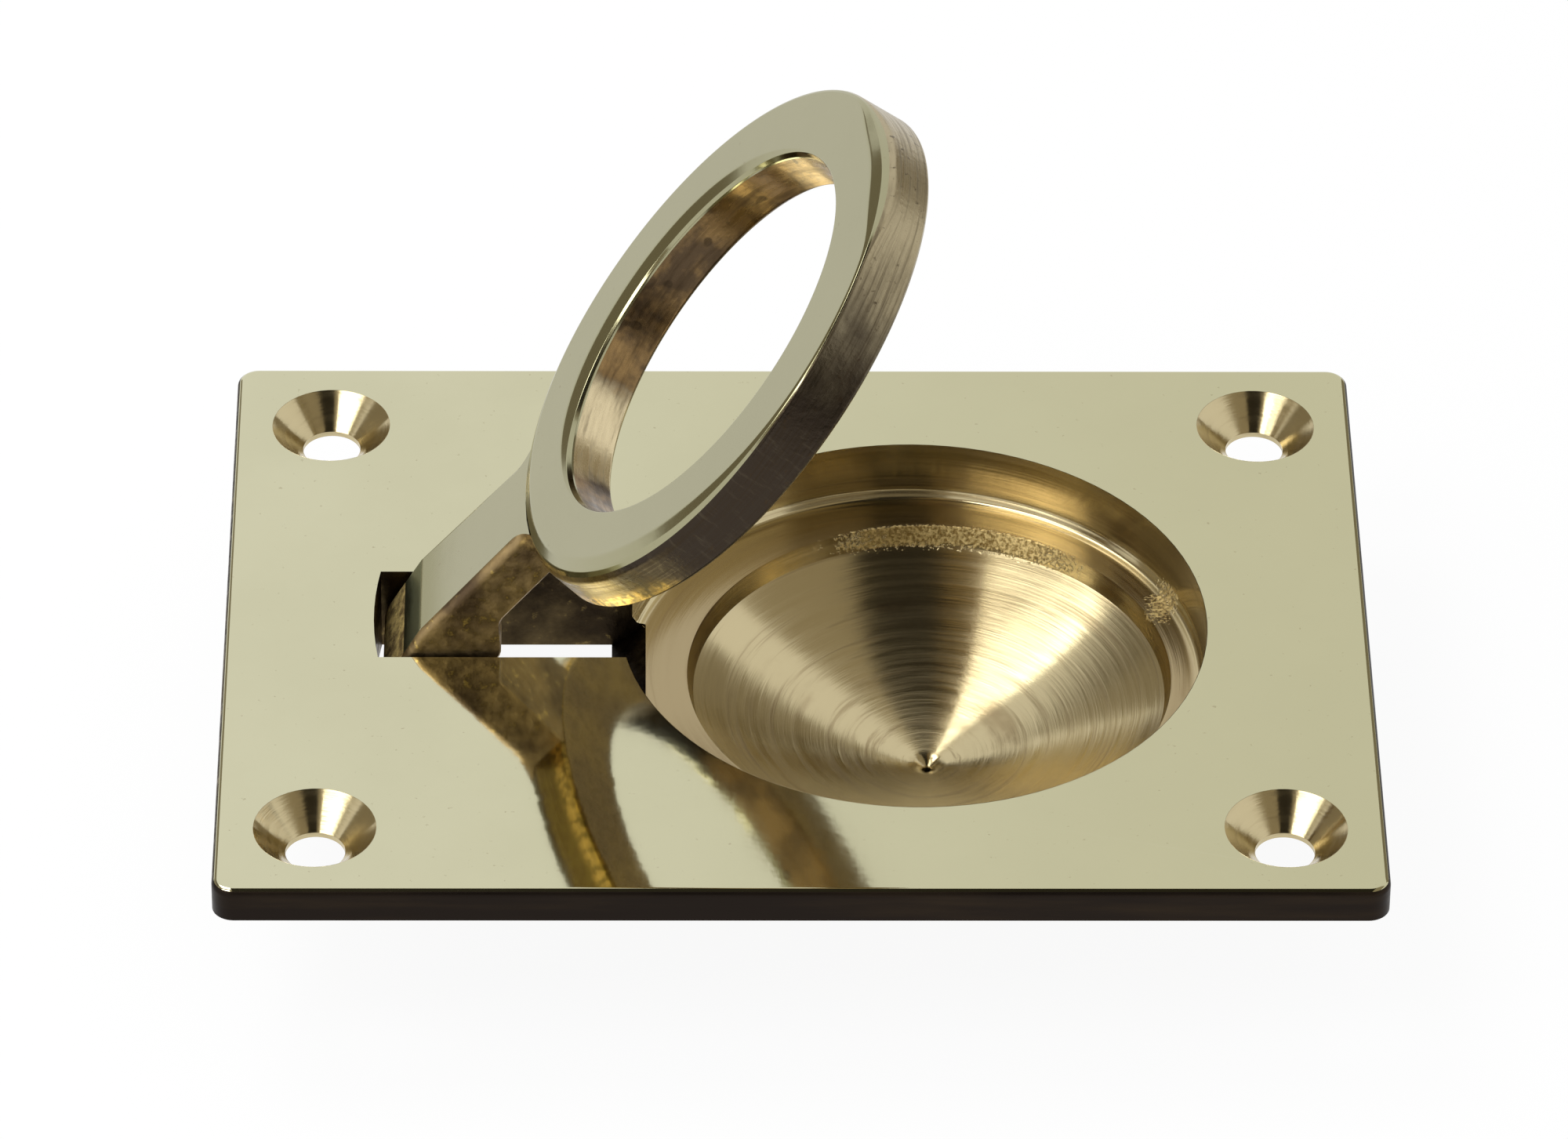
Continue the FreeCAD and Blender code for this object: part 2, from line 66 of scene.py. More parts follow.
MM = 0.001
HINGE = next(joint for joint in frame["joints"] if joint["name"] == "ring_hinge")
HINGE_PLACE = np.array(HINGE["pos_m"])
RING_LIFT = -math.radians(HINGE["range_deg"][0])
PLATE_HIGH = np.array(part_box("plate_body")[1])
BOLTS = next(mount for mount in frame["record"]["mounts"] if mount["name"] == "screw_holes")["dims"]
DISH_MIDDLE = (7.4 * MM, 0.0)
PHOTO_WIDTH = 2000
SENSOR_WIDTH = 36.0
CAMERA_TARGET = Vector((-0.675 * MM, 4.717 * MM, 2.0 * MM))
QUARTER_TURN = 0.5 * math.pi
FULL_TURN = 2.0 * math.pi
CUP_STEPS = 768
SINK_STEPS = 96
RING_STEPS = 560
TONGUE_TOP_POINTS = 7
CRISP = 0.2
CRISP_HOLE = 0.08


def length(name, description, default):
    """A size in metres that can be set in the sidebar."""
    return FloatProperty(name=name, description=description, default=default, unit="LENGTH", precision=5)


def colour(name, description, default):
    """A linear colour that can be set in the sidebar."""
    return FloatVectorProperty(name=name, description=description, default=default, subtype="COLOR",
                               size=3, min=0.0, max=1.0)


def share(name, description, default):
    """A number between nought and one."""
    return FloatProperty(name=name, description=description, default=default, min=0.0, max=1.0,
                         subtype="FACTOR")


class TurnedCupSizes(PropertyGroup):
    """The recess and the finger dish, as the lathe left them."""
    recess_x: length("Recess place", "Middle of the recess along X", 6.5 * MM)
    recess_radius: length("Recess radius", "Upright wall round the ring", 16.3 * MM)
    ledge_z: length("Ledge height", "Ledge above the seating face", -1.75 * MM)
    ledge_corner: length("Ledge corner", "Hollow corner between wall and ledge", 0.7 * MM)
    corner_ridges: share("Corner ridges", "Tool ridges in the hollow corner, as a share of its radius", 0.03)
    dish_x: length("Dish place", "Middle of the dish along X", DISH_MIDDLE[0])
    dish_radius: length("Dish radius", "Dish at the ledge", 13.5 * MM)
    lip_drop: length("Lip height", "Steep band at the dish's rim", 1.1 * MM)
    lip_run: length("Lip width", "Steep band at the dish's rim", 0.35 * MM)
    dish_depth: length("Dish depth", "Middle of the dish below the plate's face", 10.2 * MM)
    dish_curve: length("Dish curve", "Radius of the dish's shallow curve", 48.0 * MM)
    mark_radius: length("Drill mark radius", "Drill mark in the middle", 0.7 * MM)
    mark_depth: length("Drill mark depth", "Drill mark in the middle", 0.6 * MM)
    lining: length("Lining", "Thickness of the worked skin over the casting", 0.12 * MM)
    proud: length("Proud", "How far the skin stands off the casting", 0.03 * MM)
    slot_ledge_x: length("Slot end", "Slot's end at the ledge", -8.4 * MM)
    slot_half: length("Slot half width", "Half the width of the slot", 3.85 * MM)


class RingSizes(PropertyGroup):
    """The ring and its tongue, measured in the ring's own frame at the hinge axis."""
    arm: length("Arm", "Hinge axis to the middle of the ring", 27.55 * MM)
    face: length("Face height", "Ring's face above the hinge axis, ring flat", 2.95 * MM)
    thick: length("Thickness", "Ring, face to underside", 3.15 * MM)
    radius: length("Radius", "Ring, outside, at its underside", 15.65 * MM)
    draft: length("Draft", "Lean of the rim", 0.2 * MM)
    slope_run: length("Slope width", "Buffed slope round the face", 0.4 * MM)
    slope_drop: length("Slope height", "Buffed slope round the face", 0.6 * MM)
    edge_run: length("Soft edge width", "Soft edge between face and slope", 0.7 * MM)
    edge_drop: length("Soft edge height", "Soft edge between face and slope", 0.26 * MM)
    hole: length("Hole radius", "Finger hole, below its bevel", 11.3 * MM)
    hole_draft: length("Hole draft", "How much narrower the hole is below", 0.2 * MM)
    dip_run: length("Hole edge width", "Soft edge of the face round the hole", 0.8 * MM)
    dip_drop: length("Hole edge height", "Soft edge of the face round the hole", 0.24 * MM)
    bevel_run: length("Bevel width", "Bevel round the hole", 0.12 * MM)
    bevel_drop: length("Bevel height", "Bevel round the hole", 0.4 * MM)
    back_bevel: length("Back bevel", "Bevels at the underside", 0.2 * MM)
    hub: length("Hub radius", "Round end of the tongue", 2.1 * MM)
    ramp: FloatProperty(name="Ramp", description="Fall of the tongue's top to the hub",
                        default=math.radians(10.5), subtype="ANGLE")
    tongue_drop: length("Tongue drop", "Tongue's top below the ring's face", 0.2 * MM)
    tongue_thick: length("Tongue thickness", "Tongue, top to underside", 2.9 * MM)
    hub_width: length("Hub width", "Tongue at the hinge", 7.4 * MM)
    neck_width: length("Neck width", "Tongue at the ring", 6.6 * MM)
    neck_flare: length("Neck flare", "Corner between tongue and rim", 0.9 * MM)
    edge_bevel: length("Edge bevel", "Bevels along the tongue's top", 0.38 * MM)
    heel_reach: length("Heel reach", "Hinge axis to the top of the heel", 6.7 * MM)
    heel_sole: length("Heel sole", "Straight sole of the heel", 4.9 * MM)
    sole_angle: FloatProperty(name="Sole angle", description="Rise of the sole",
                              default=math.radians(5.0), subtype="ANGLE")
    heel_round: length("Heel round", "Round at the heel's tip", 0.8 * MM)
    heel_fillet: length("Heel fillet", "Fillet under the tongue", 1.0 * MM)


class PlateSizes(PropertyGroup):
    """The countersinks, and where the plate's finishes change."""
    sink_radius: length("Countersink radius", "Countersink at the face", 3.35 * MM)
    worked_depth: length("Worked depth", "How far down the polish runs over the plate's edge", 0.42 * MM)


class BrassColours(PropertyGroup):
    """Colours of the brass in its several finishes."""
    polished: colour("Polished", "Face of the plate by the hinge", (0.615, 0.595, 0.41))
    warmer: colour("Warmer", "Face of the plate by the ring's free side", (0.52, 0.495, 0.31))
    ring_face: colour("Ring face", "Face of ring and tongue", (0.37, 0.352, 0.215))
    # The ramp colour is a darker, greener copy of the ring's face: painted shade for the darker reflection on the
    # tilted slope.
    ramp: colour("Ramp", "Slope at the tongue's end", (0.25, 0.262, 0.15))
    turned: colour("Turned", "Turned walls and dish", (0.56, 0.475, 0.28))
    # Satin is the rim's own tone. Made brighter, it is also the finger hole's painted reflection.
    satin: colour("Satin", "Filed rim where it is brightest", (0.41, 0.345, 0.215))
    gold: colour("Gold", "Bare casting, bright and golden", (0.92, 0.67, 0.22))
    browned: colour("Browned", "Ring's underside and finger hole", (0.25, 0.172, 0.082))
    cast: colour("Cast", "Casting skin, browned", (0.21, 0.15, 0.07))
    # Tarnish is dark film in hollows and pits, and also the painted shade on the rim's -Y side.
    tarnish_and_shade: colour("Tarnish", "Dark brown film in hollows", (0.055, 0.037, 0.021))
    # The edge colour is painted shade: the plate's sides reflect the floor in the plate's shadow, so they are made
    # near-black.
    edge: colour("Edge", "Blackened edges of the plate", (0.02, 0.015, 0.012))
    rod: colour("Rod", "Hinge pin", (0.62, 0.50, 0.26))


class StageSettings(PropertyGroup):
    """Floor, lamps, cards and camera."""
    floor_drop: length("Floor", "Floor below the seating face", 0.0105)
    floor_size: length("Floor size", "Side of the square floor", 3.0)
    floor_glow: share("Floor glow", "How much of the floor is plain white to camera and metal", 0.93)
    camera_turn: FloatProperty(name="Camera turn", description="Camera's turn about the upright",
                               default=math.radians(-0.98), subtype="ANGLE")
    camera_rise: FloatProperty(name="Camera rise", description="Camera's rise above the plate's face",
                               default=math.radians(37.88), subtype="ANGLE")
    camera_roll: FloatProperty(name="Camera roll", description="Camera's roll",
                               default=math.radians(0.65), subtype="ANGLE")
    camera_distance: length("Camera distance", "Camera to the point it looks at", 0.5688)
    focal_pixels: FloatProperty(name="Focal length", description="Focal length in photograph pixels",
                                default=12980.0, min=100.0)
    world_level: FloatProperty(name="Room light", description="Strength of the even light", default=0.8,
                               min=0.0)
    lamp_level: FloatProperty(name="Lamp", description="Brightness of the overhead lamps, white being 1",
                              default=5.4, min=0.0)
    ceiling_level: share("Ceiling", "Brightness of the ceiling in the brass", 0.38)
    beam_level: share("Beam", "Brightness of the dark beam overhead in the brass", 0.03)
    board_level: share("Board", "Brightness of the left overhead board in the brass", 0.18)
    flag_level: share("Flags", "Brightness of the side flags in the brass", 0.3)
    card_tint: colour("Card tint", "Warm tint of ceiling, beam and flags", (1.0, 0.87, 0.64))


def lerp(start, end, steps):
    """Evenly spaced numbers from start to end, both included."""
    return start + (end - start) * np.linspace(0.0, 1.0, steps)


def arc_points(first, last, steps):
    """Points on the arc about the origin from first to last, the short way round."""
    sweep = math.atan2(first[0] * last[1] - first[1] * last[0], first @ last)
    turn = np.linspace(0.0, sweep, steps)
    return np.stack([first[0] * np.cos(turn) - first[1] * np.sin(turn),
                     first[0] * np.sin(turn) + first[1] * np.cos(turn)], axis=1)


def rounded_path(corners, radii, arc_steps=5, closed=True, gather=0.04):
    """Points along a path through corners, each corner replaced by a tangent arc of its radius.

    With the unit vectors p back along the arriving side and q along the leaving side, and half the
    angle between them a, the arc starts at corner + p r / tan a, ends at corner + q r / tan a and is
    centred at corner + (p + q) / |p + q| r / sin a. Straight runs get two more points close to their
    ends, so that smooth shading stays level along them.
    """
    corners = np.asarray(corners, float)
    count = len(corners)
    runs = []
    for number in range(count):
        point, radius = corners[number], radii[number]
        if radius <= 0.0 or (not closed and number in (0, count - 1)):
            runs.append(point[None, :])
            continue
        back = corners[number - 1] - point
        ahead = corners[(number + 1) % count] - point
        back, ahead = back / np.linalg.norm(back), ahead / np.linalg.norm(ahead)
        half = 0.5 * math.acos(np.clip(back @ ahead, -1.0, 1.0))
        bisector = (back + ahead) / np.linalg.norm(back + ahead)
        centre = point + bisector * radius / math.sin(half)
        first = point + back * radius / math.tan(half) - centre
        last = point + ahead * radius / math.tan(half) - centre
        runs.append(centre + arc_points(first, last, arc_steps))
    pieces = []
    for number, run in enumerate(runs):
        pieces.append(run)
        if closed or number < count - 1:
            start, end = run[-1], runs[(number + 1) % count][0]
            pieces.append(start + (end - start) * np.array([gather, 0.5, 1.0 - gather])[:, None])
    return np.concatenate(pieces)


def arc_between(start, end, radius, steps, side=1.0):
    """Points on the short arc of a radius from start to end, bulging to the given side of the way."""
    start, end = np.asarray(start, float), np.asarray(end, float)
    way = end - start
    span = np.linalg.norm(way)
    normal = np.array([way[1], -way[0]]) / span * side
    centre = (start + end) / 2 - normal * math.sqrt(radius ** 2 - span ** 2 / 4)
    return centre + arc_points(start - centre, end - centre, steps)


def grid_faces(rows, columns, wrap_rows=False, wrap_columns=False):
    """Corner numbers of the quads of a grid whose points run row by row."""
    across = np.arange(columns if wrap_columns else columns - 1)
    down = np.arange(rows if wrap_rows else rows - 1)
    row, column = np.meshgrid(down, across, indexing="ij")
    next_row, next_column = (row + 1) % rows, (column + 1) % columns
    quads = np.stack([row * columns + column, row * columns + next_column,
                      next_row * columns + next_column, next_row * columns + column], axis=-1)
    return quads.reshape(-1, 4)


def mesh_from_quads(name, points, quads, materials, finish=None, uv=None, sharp=math.radians(32),
                    torn=None):
    """A smooth mesh from points and quads, with doubled points merged and faces turned outwards.

    uv holds one pair for each corner of each quad, finish the number of its material, and torn one
    share for each point.
    """
    mesh = bpy.data.meshes.new(name)
    mesh.from_pydata(points.reshape(-1, 3), [], quads.tolist())
    for material in materials:
        mesh.materials.append(material)
    if finish is not None:
        mesh.polygons.foreach_set("material_index", np.asarray(finish, dtype=np.int32))
    if uv is not None:
        layer = mesh.uv_layers.new(name="UVMap")
        layer.uv.foreach_set("vector", np.ascontiguousarray(uv, dtype=np.float32).ravel())
    if torn is not None:
        mesh.attributes.new("torn", "FLOAT", "POINT").data.foreach_set("value", torn.astype(np.float32))
    work = bmesh.new()
    work.from_mesh(mesh)
    bmesh.ops.remove_doubles(work, verts=work.verts, dist=1e-7)
    bmesh.ops.dissolve_degenerate(work, edges=work.edges, dist=1e-8)
    loose = [corner for corner in work.verts if not corner.link_faces]
    bmesh.ops.delete(work, geom=loose, context="VERTS")
    bmesh.ops.recalc_face_normals(work, faces=work.faces)
    work.to_mesh(mesh)
    work.free()
    mesh.shade_smooth()
    mesh.set_sharp_from_angle(angle=sharp)
    piece = bpy.data.objects.new(name, mesh)
    bpy.context.scene.collection.objects.link(piece)
    return piece


def corner_uv(u, v, quads):
    """Texture places of each quad's corners, taken from one pair of numbers for each point."""
    pairs = np.stack([u.ravel(), v.ravel()], axis=1)
    return pairs[quads]


def wrapped_uv(u, v, quads):
    """The same for a surface that closes on itself, with the seam's far corners moved on one turn."""
    places = corner_uv(u, v, quads)
    behind = places[:, :, 0].max(axis=1, keepdims=True) - places[:, :, 0] > 0.5
    places[:, :, 0] += behind
    return places


class Nodes:
    """Shorthand for wiring one material's nodes."""

    def __init__(self, name):
        self.material = bpy.data.materials.new(name)
        self.material.use_nodes = True
        self.tree = self.material.node_tree
        self.shader = self.tree.nodes["Principled BSDF"]

    def add(self, kind, inputs=(), **settings):
        node = self.tree.nodes.new("ShaderNode" + kind)
        for key, value in settings.items():
            setattr(node, key, value)
        for key, value in dict(inputs).items():
            self.feed(node.inputs[key], value)
        return node

    def feed(self, socket, value):
        if isinstance(value, bpy.types.NodeSocket):
            self.tree.links.new(value, socket)
        else:
            socket.default_value = value

    def place(self):
        return self.add("TexCoord").outputs["Object"]

    def wound(self, around, down):
        """The UV map bent into a ring, so that a pattern meets itself after one turn.

        Its place is (n cos t, n sin t, m v), where t is the turn, v the run down the profile in metres,
        and n and m the cells on the ring's radius and in a metre.
        """
        split = self.add("SeparateXYZ", {0: self.add("UVMap", uv_map="UVMap").outputs["UV"]})
        turn = self.math("MULTIPLY", split.outputs[0], FULL_TURN)
        across = self.math("MULTIPLY", self.math("COSINE", turn), around)
        up = self.math("MULTIPLY", self.math("SINE", turn), around)
        run = self.math("MULTIPLY", split.outputs[1], down)
        return self.add("CombineXYZ", {0: across, 1: up, 2: run}).outputs[0]

    def down(self):
        """The run down the profile in metres, from the UV map."""
        return self.add("SeparateXYZ", {0: self.add("UVMap", uv_map="UVMap").outputs["UV"]}).outputs[1]

    def part(self, axis):
        """One of the three Object coordinates: 0, 1 or 2."""
        return self.add("SeparateXYZ", {0: self.place()}).outputs[axis]

    def noise(self, vector, scale, detail=4.0, roughness=0.55, stretch=None):
        """Noise of so many cells a metre, drawn out along an axis if asked."""
        if stretch is not None:
            vector = self.add("Mapping", {"Vector": vector, "Scale": stretch}).outputs["Vector"]
        node = self.add("TexNoise", {"Vector": vector, "Scale": scale, "Detail": detail,
                                     "Roughness": roughness})
        return node.outputs["Fac"]

    def ramp(self, value, low, high, start=0.0, end=1.0):
        """Value taken smoothly from the range low to high onto the range start to end."""
        node = self.add("MapRange", {"Value": value, "From Min": low, "From Max": high,
                                     "To Min": start, "To Max": end}, interpolation_type="SMOOTHSTEP")
        return node.outputs["Result"]

    def mix(self, amount, first, second):
        node = self.add("Mix", data_type="RGBA")
        self.feed(node.inputs[0], amount)
        self.feed(node.inputs[6], first)
        self.feed(node.inputs[7], second)
        return node.outputs[2]

    def math(self, operation, first, second=0.0):
        node = self.add("Math", operation=operation)
        self.feed(node.inputs[0], first)
        self.feed(node.inputs[1], second)
        return node.outputs[0]

    def bump(self, height, distance, strength=1.0, under=None):
        node = self.add("Bump", {"Height": height, "Distance": distance, "Strength": strength})
        if under is not None:
            self.feed(node.inputs["Normal"], under)
        return node.outputs["Normal"]

    def finish(self, base, roughness, normal=None, anisotropy=None):
        self.feed(self.shader.inputs["Base Color"], base)
        self.feed(self.shader.inputs["Roughness"], roughness)
        self.shader.inputs["Metallic"].default_value = 1.0
        if normal is not None:
            self.feed(self.shader.inputs["Normal"], normal)
        if anisotropy is not None:
            self.shader.inputs["Anisotropic"].default_value = anisotropy
            self.shader.inputs["Anisotropic Rotation"].default_value = 0.25
            tangent = self.add("Tangent", direction_type="UV_MAP", uv_map="UVMap")
            self.feed(self.shader.inputs["Tangent"], tangent.outputs["Tangent"])
        return self.material


def rgba(value, factor=1.0):
    """A colour with full opacity, its channels times one factor or one each."""
    return (*(np.array(value) * factor), 1.0)


def polished_brass(name, tint, warmer, stain, roughness):
    """A buffed face: nearly a mirror, with faint wipe marks, fine specks and a soft unevenness.

    Its colour goes from tint at the hinge end of the plate to warmer at the other end.
    """
    kit = Nodes(name)
    place = kit.place()
    cloud = kit.noise(place, 90.0, 5.0, 0.6)
    wipe = kit.noise(place, 260.0, 6.0, 0.7, stretch=(1.0, 0.16, 1.0))
    specks = kit.ramp(kit.noise(place, 2600.0, 2.0), 0.70, 0.78)
    across = kit.mix(kit.ramp(kit.part(0), -PLATE_HIGH[0], PLATE_HIGH[0]), rgba(tint), rgba(warmer))
    even = kit.mix(kit.ramp(cloud, 0.3, 0.7, 0.0, 0.12), across, rgba(warmer, 0.8))
    base = kit.mix(kit.math("MULTIPLY", specks, 0.3), even, rgba(stain))
    gloss = kit.ramp(wipe, 0.25, 0.8, roughness * 0.75, roughness * 1.5)
    swell = kit.bump(cloud, 0.00005, 0.3)
    normal = kit.bump(wipe, 0.000004, 0.5, under=swell)
    return kit.finish(base, gloss, normal)


def turned_brass(name, colours, roughness=0.17, streaks=1.0, ledge=None):
    """Lathe-turned brass: fine rings along the profile, darker where the tool skipped, round gloss.

    Where the ledge's start and end along the profile are given, the ledge is browner, and the piece's
    torn attribute brings in crumbled golden metal.
    """
    kit = Nodes(name)
    fine = kit.noise(kit.wound(0.9, 8200.0), 1.0, 3.0, 0.6)
    coarse = kit.noise(kit.wound(0.7, 2300.0), 1.0, 4.0, 0.62)
    broad = kit.noise(kit.wound(0.5, 520.0), 1.0, 3.0, 0.5)
    blotch = kit.noise(kit.place(), 260.0, 4.0, 0.6)
    film = kit.math("MULTIPLY", kit.ramp(broad, 0.5, 0.72), kit.ramp(blotch, 0.4, 0.66, 0.0, 0.55))
    lines = kit.ramp(coarse, 0.54, 0.70, 0.0, 0.5 * streaks)
    base = kit.mix(kit.math("MAXIMUM", film, lines), rgba(colours.turned), rgba(colours.browned))
    gloss = kit.ramp(coarse, 0.3, 0.75, roughness * 0.8, roughness * 1.4)
    wide = kit.bump(coarse, 0.000016, 0.8)
    normal = kit.bump(fine, 0.000005, 0.9, under=wide)
    if ledge is not None:
        start, end = ledge
        shelf = kit.math("MULTIPLY", kit.ramp(kit.down(), start - 0.3 * MM, start + 0.1 * MM),
                         kit.ramp(kit.down(), end + 0.2 * MM, end - 0.1 * MM))
        base = kit.mix(kit.math("MULTIPLY", shelf, 0.55), base, rgba(colours.browned))
        base, gloss, normal = torn_metal(kit, colours, base, gloss, normal)
    return kit.finish(base, gloss, normal, anisotropy=0.8)


def torn_metal(kit, colours, base, gloss, normal):
    """Crumbled golden metal laid over a finish where the piece's torn attribute says, with ragged edges."""
    place = kit.place()
    grain = kit.noise(place, 5200.0, 3.0, 0.55)
    lumps = kit.noise(place, 1300.0, 3.0, 0.6)
    torn = kit.add("Attribute", attribute_name="torn").outputs["Fac"]
    mask = kit.ramp(kit.math("ADD", torn, kit.ramp(grain, 0.3, 0.7, -0.35, 0.35)), 0.4, 0.75)
    crumbs = kit.mix(kit.ramp(grain, 0.35, 0.65), rgba(colours.gold, (0.34, 0.31, 0.3)),
                     rgba(colours.gold, (0.9, 1.0, 1.5)))
    under = kit.bump(kit.math("MULTIPLY", lumps, mask), 0.00009, 0.7, under=normal)
    normal = kit.bump(kit.math("MULTIPLY", grain, mask), 0.00002, 0.6, under=under)
    return kit.mix(mask, base, crumbs), kit.mix(mask, gloss, (0.55, 0.55, 0.55, 1.0)), normal


def cast_brass(name, colours, roughness=0.42, glints=0.25, grain=1500.0, depth=1.0):
    """Casting skin: pitted, browned, with bare glints on the high spots. depth darkens the whole; the slot's
    darker copy is painted shade.
    """
    kit = Nodes(name)
    place = kit.place()
    pits = kit.noise(place, grain, 6.0, 0.62)
    lumps = kit.noise(place, grain * 0.22, 4.0, 0.55)
    stain = kit.noise(place, grain * 0.12, 5.0, 0.6)
    brown = kit.mix(kit.ramp(stain, 0.35, 0.65), rgba(colours.tarnish_and_shade, depth),
                    rgba(colours.cast, depth))
    bare = kit.math("MULTIPLY", kit.ramp(pits, 0.58, 0.72), glints)
    base = kit.mix(bare, brown, rgba(colours.gold))
    gloss = kit.ramp(pits, 0.35, 0.7, roughness * 1.25, roughness * 0.7)
    under = kit.bump(lumps, 0.00014, 0.6)
    normal = kit.bump(pits, 0.00006, 0.75, under=under)
    return kit.finish(base, gloss, normal)


def rim_brass(name, colours):
    """The ring's filed rim: satin at its free side, darkened on its -Y side by painted shade, golden casting
    below, with a painted highlight along its lower edge.
    """
    kit = Nodes(name)
    along = kit.noise(kit.wound(2.2, 5200.0), 1.0, 4.0, 0.65)
    score = kit.noise(kit.wound(46.0, 420.0), 1.0, 5.0, 0.7)
    place = kit.place()
    pits = kit.noise(place, 2300.0, 3.0, 0.55)
    blotch = kit.noise(place, 300.0, 4.0, 0.6)
    # Painted shade: the rim's satin darkens to the tarnish colour on its -Y side, standing for the darker
    # reflection there.
    beside = kit.math("ADD", kit.part(1), kit.ramp(blotch, 0.2, 0.8, -1.6 * MM, 1.6 * MM))
    up = kit.ramp(beside, -14.0 * MM, -5.0 * MM)
    satin = kit.mix(up, rgba(colours.tarnish_and_shade, (0.85, 0.95, 1.2)), rgba(colours.satin))
    scored = kit.mix(kit.ramp(along, 0.46, 0.7, 0.0, 0.55), satin, rgba(colours.tarnish_and_shade, 0.9))
    crossed = kit.mix(kit.ramp(score, 0.52, 0.72, 0.0, 0.07), scored, rgba(colours.satin))
    pitted = kit.mix(kit.ramp(pits, 0.62, 0.74, 0.0, 0.75), crossed, rgba(colours.tarnish_and_shade))
    # Low down by the tongue the rim is golden casting, with a painted highlight along its lower edge by the
    # underside and dark above it.
    height = kit.math("ADD", kit.part(2), kit.ramp(blotch, 0.2, 0.8, -1.0 * MM, 1.0 * MM))
    low = kit.ramp(height, 16.5 * MM, 13.5 * MM)
    upper = kit.ramp(kit.down(), 0.9 * MM, 1.8 * MM)
    painted_edge_highlight = kit.mix(upper, rgba(colours.gold, (0.85, 0.76, 0.6)),
                     rgba(colours.gold, (0.2, 0.18, 0.16)))
    mottled = kit.mix(kit.ramp(pits, 0.35, 0.62), rgba(colours.gold, (0.25, 0.24, 0.2)), painted_edge_highlight)
    base = kit.mix(low, pitted, mottled)
    gloss = kit.ramp(along, 0.3, 0.7, 0.24, 0.42)
    deep = kit.bump(pits, 0.00004, 0.6)
    wide = kit.bump(score, 0.00002, 0.3, under=deep)
    normal = kit.bump(along, 0.00001, 0.6, under=wide)
    return kit.finish(base, gloss, normal, anisotropy=0.3)


def crumb_brass(name, colours):
    """Bare torn metal: golden, rough and full of small glints."""
    kit = Nodes(name)
    place = kit.place()
    grain = kit.noise(place, 3200.0, 5.0, 0.65)
    lumps = kit.noise(place, 1100.0, 3.0, 0.6)
    base = kit.mix(kit.ramp(lumps, 0.3, 0.66), rgba(colours.browned),
                   rgba(colours.gold, (0.9, 0.98, 1.25)))
    under = kit.bump(lumps, 0.00016, 0.8)
    return kit.finish(base, kit.ramp(grain, 0.3, 0.7, 0.7, 0.5), kit.bump(grain, 0.00005, 0.8, under=under))


def back_brass(name, colours):
    """The ring's underside: smooth brown satin, with a little bare metal showing through."""
    kit = Nodes(name)
    place = kit.place()
    cloud = kit.noise(place, 240.0, 4.0, 0.6)
    grain = kit.noise(place, 1900.0, 4.0, 0.6)
    base = kit.mix(kit.ramp(cloud, 0.35, 0.7, 0.0, 0.7), rgba(colours.browned),
                   rgba(colours.gold, (0.5, 0.48, 0.5)))
    return kit.finish(base, kit.ramp(grain, 0.3, 0.7, 0.2, 0.34), kit.bump(grain, 0.00002, 0.5))


def hole_brass(name, colours):
    """The finger hole's wall: golden brown with dark round spots, paler low down by the tongue, where a lighter
    reflection is painted.
    """
    kit = Nodes(name)
    along = kit.noise(kit.wound(3.5, 2600.0), 1.0, 4.0, 0.6)
    place = kit.place()
    blotch = kit.noise(place, 330.0, 4.0, 0.6)
    spots = kit.noise(place, 1100.0, 0.0, 0.4)
    warm = kit.mix(kit.ramp(blotch, 0.38, 0.64), rgba(colours.tarnish_and_shade, 1.8),
                   rgba(colours.browned, (1.25, 1.15, 1.0)))
    # Painted reflection: a paler patch low down by the tongue, in the satin colour made brighter.
    aside = kit.math("ADD", kit.part(1), kit.ramp(blotch, 0.2, 0.8, -0.6 * MM, 0.6 * MM))
    low = kit.math("MULTIPLY", kit.ramp(kit.part(2), 20.0 * MM, 18.0 * MM),
                   kit.ramp(aside, 6.6 * MM, 4.8 * MM))
    painted_pale_reflection = kit.math("MULTIPLY", low, kit.ramp(aside, -1.4 * MM, 0.2 * MM))
    spotted = kit.mix(kit.ramp(spots, 0.68, 0.76, 0.0, 0.7), warm, rgba(colours.tarnish_and_shade))
    paler = kit.mix(painted_pale_reflection, spotted, rgba(colours.satin, 1.75))
    base = kit.mix(kit.ramp(along, 0.5, 0.72, 0.0, 0.45), paler, rgba(colours.tarnish_and_shade))
    gloss = kit.ramp(along, 0.3, 0.7, 0.2, 0.36)
    deep = kit.bump(blotch, 0.00008, 0.4)
    normal = kit.bump(along, 0.00001, 0.7, under=deep)
    return kit.finish(base, gloss, normal, anisotropy=0.3)


def shaded_edge_finish(name, colours):
    """The plate's cut edges: almost black, a painted shade for the shadowed floor they reflect, with a faint sheen
    and fine drag lines.
    """
    kit = Nodes(name)
    place = kit.place()
    drag = kit.noise(place, 700.0, 5.0, 0.6, stretch=(0.08, 0.08, 1.0))
    base = kit.mix(kit.ramp(drag, 0.45, 0.8, 0.0, 0.5), rgba(colours.edge), rgba(colours.tarnish_and_shade))
    return kit.finish(base, kit.ramp(drag, 0.3, 0.7, 0.35, 0.5), kit.bump(drag, 0.00002, 0.5))


def rod_brass(name, colours):
    """Drawn rod: even satin with lengthwise lines."""
    kit = Nodes(name)
    place = kit.place()
    drawn = kit.noise(place, 3000.0, 3.0, 0.6, stretch=(1.0, 0.02, 1.0))
    base = kit.mix(kit.ramp(drawn, 0.4, 0.7), rgba(colours.rod), rgba(colours.rod, 0.75))
    return kit.finish(base, kit.ramp(drawn, 0.3, 0.7, 0.18, 0.3), kit.bump(drawn, 0.00001, 0.5))


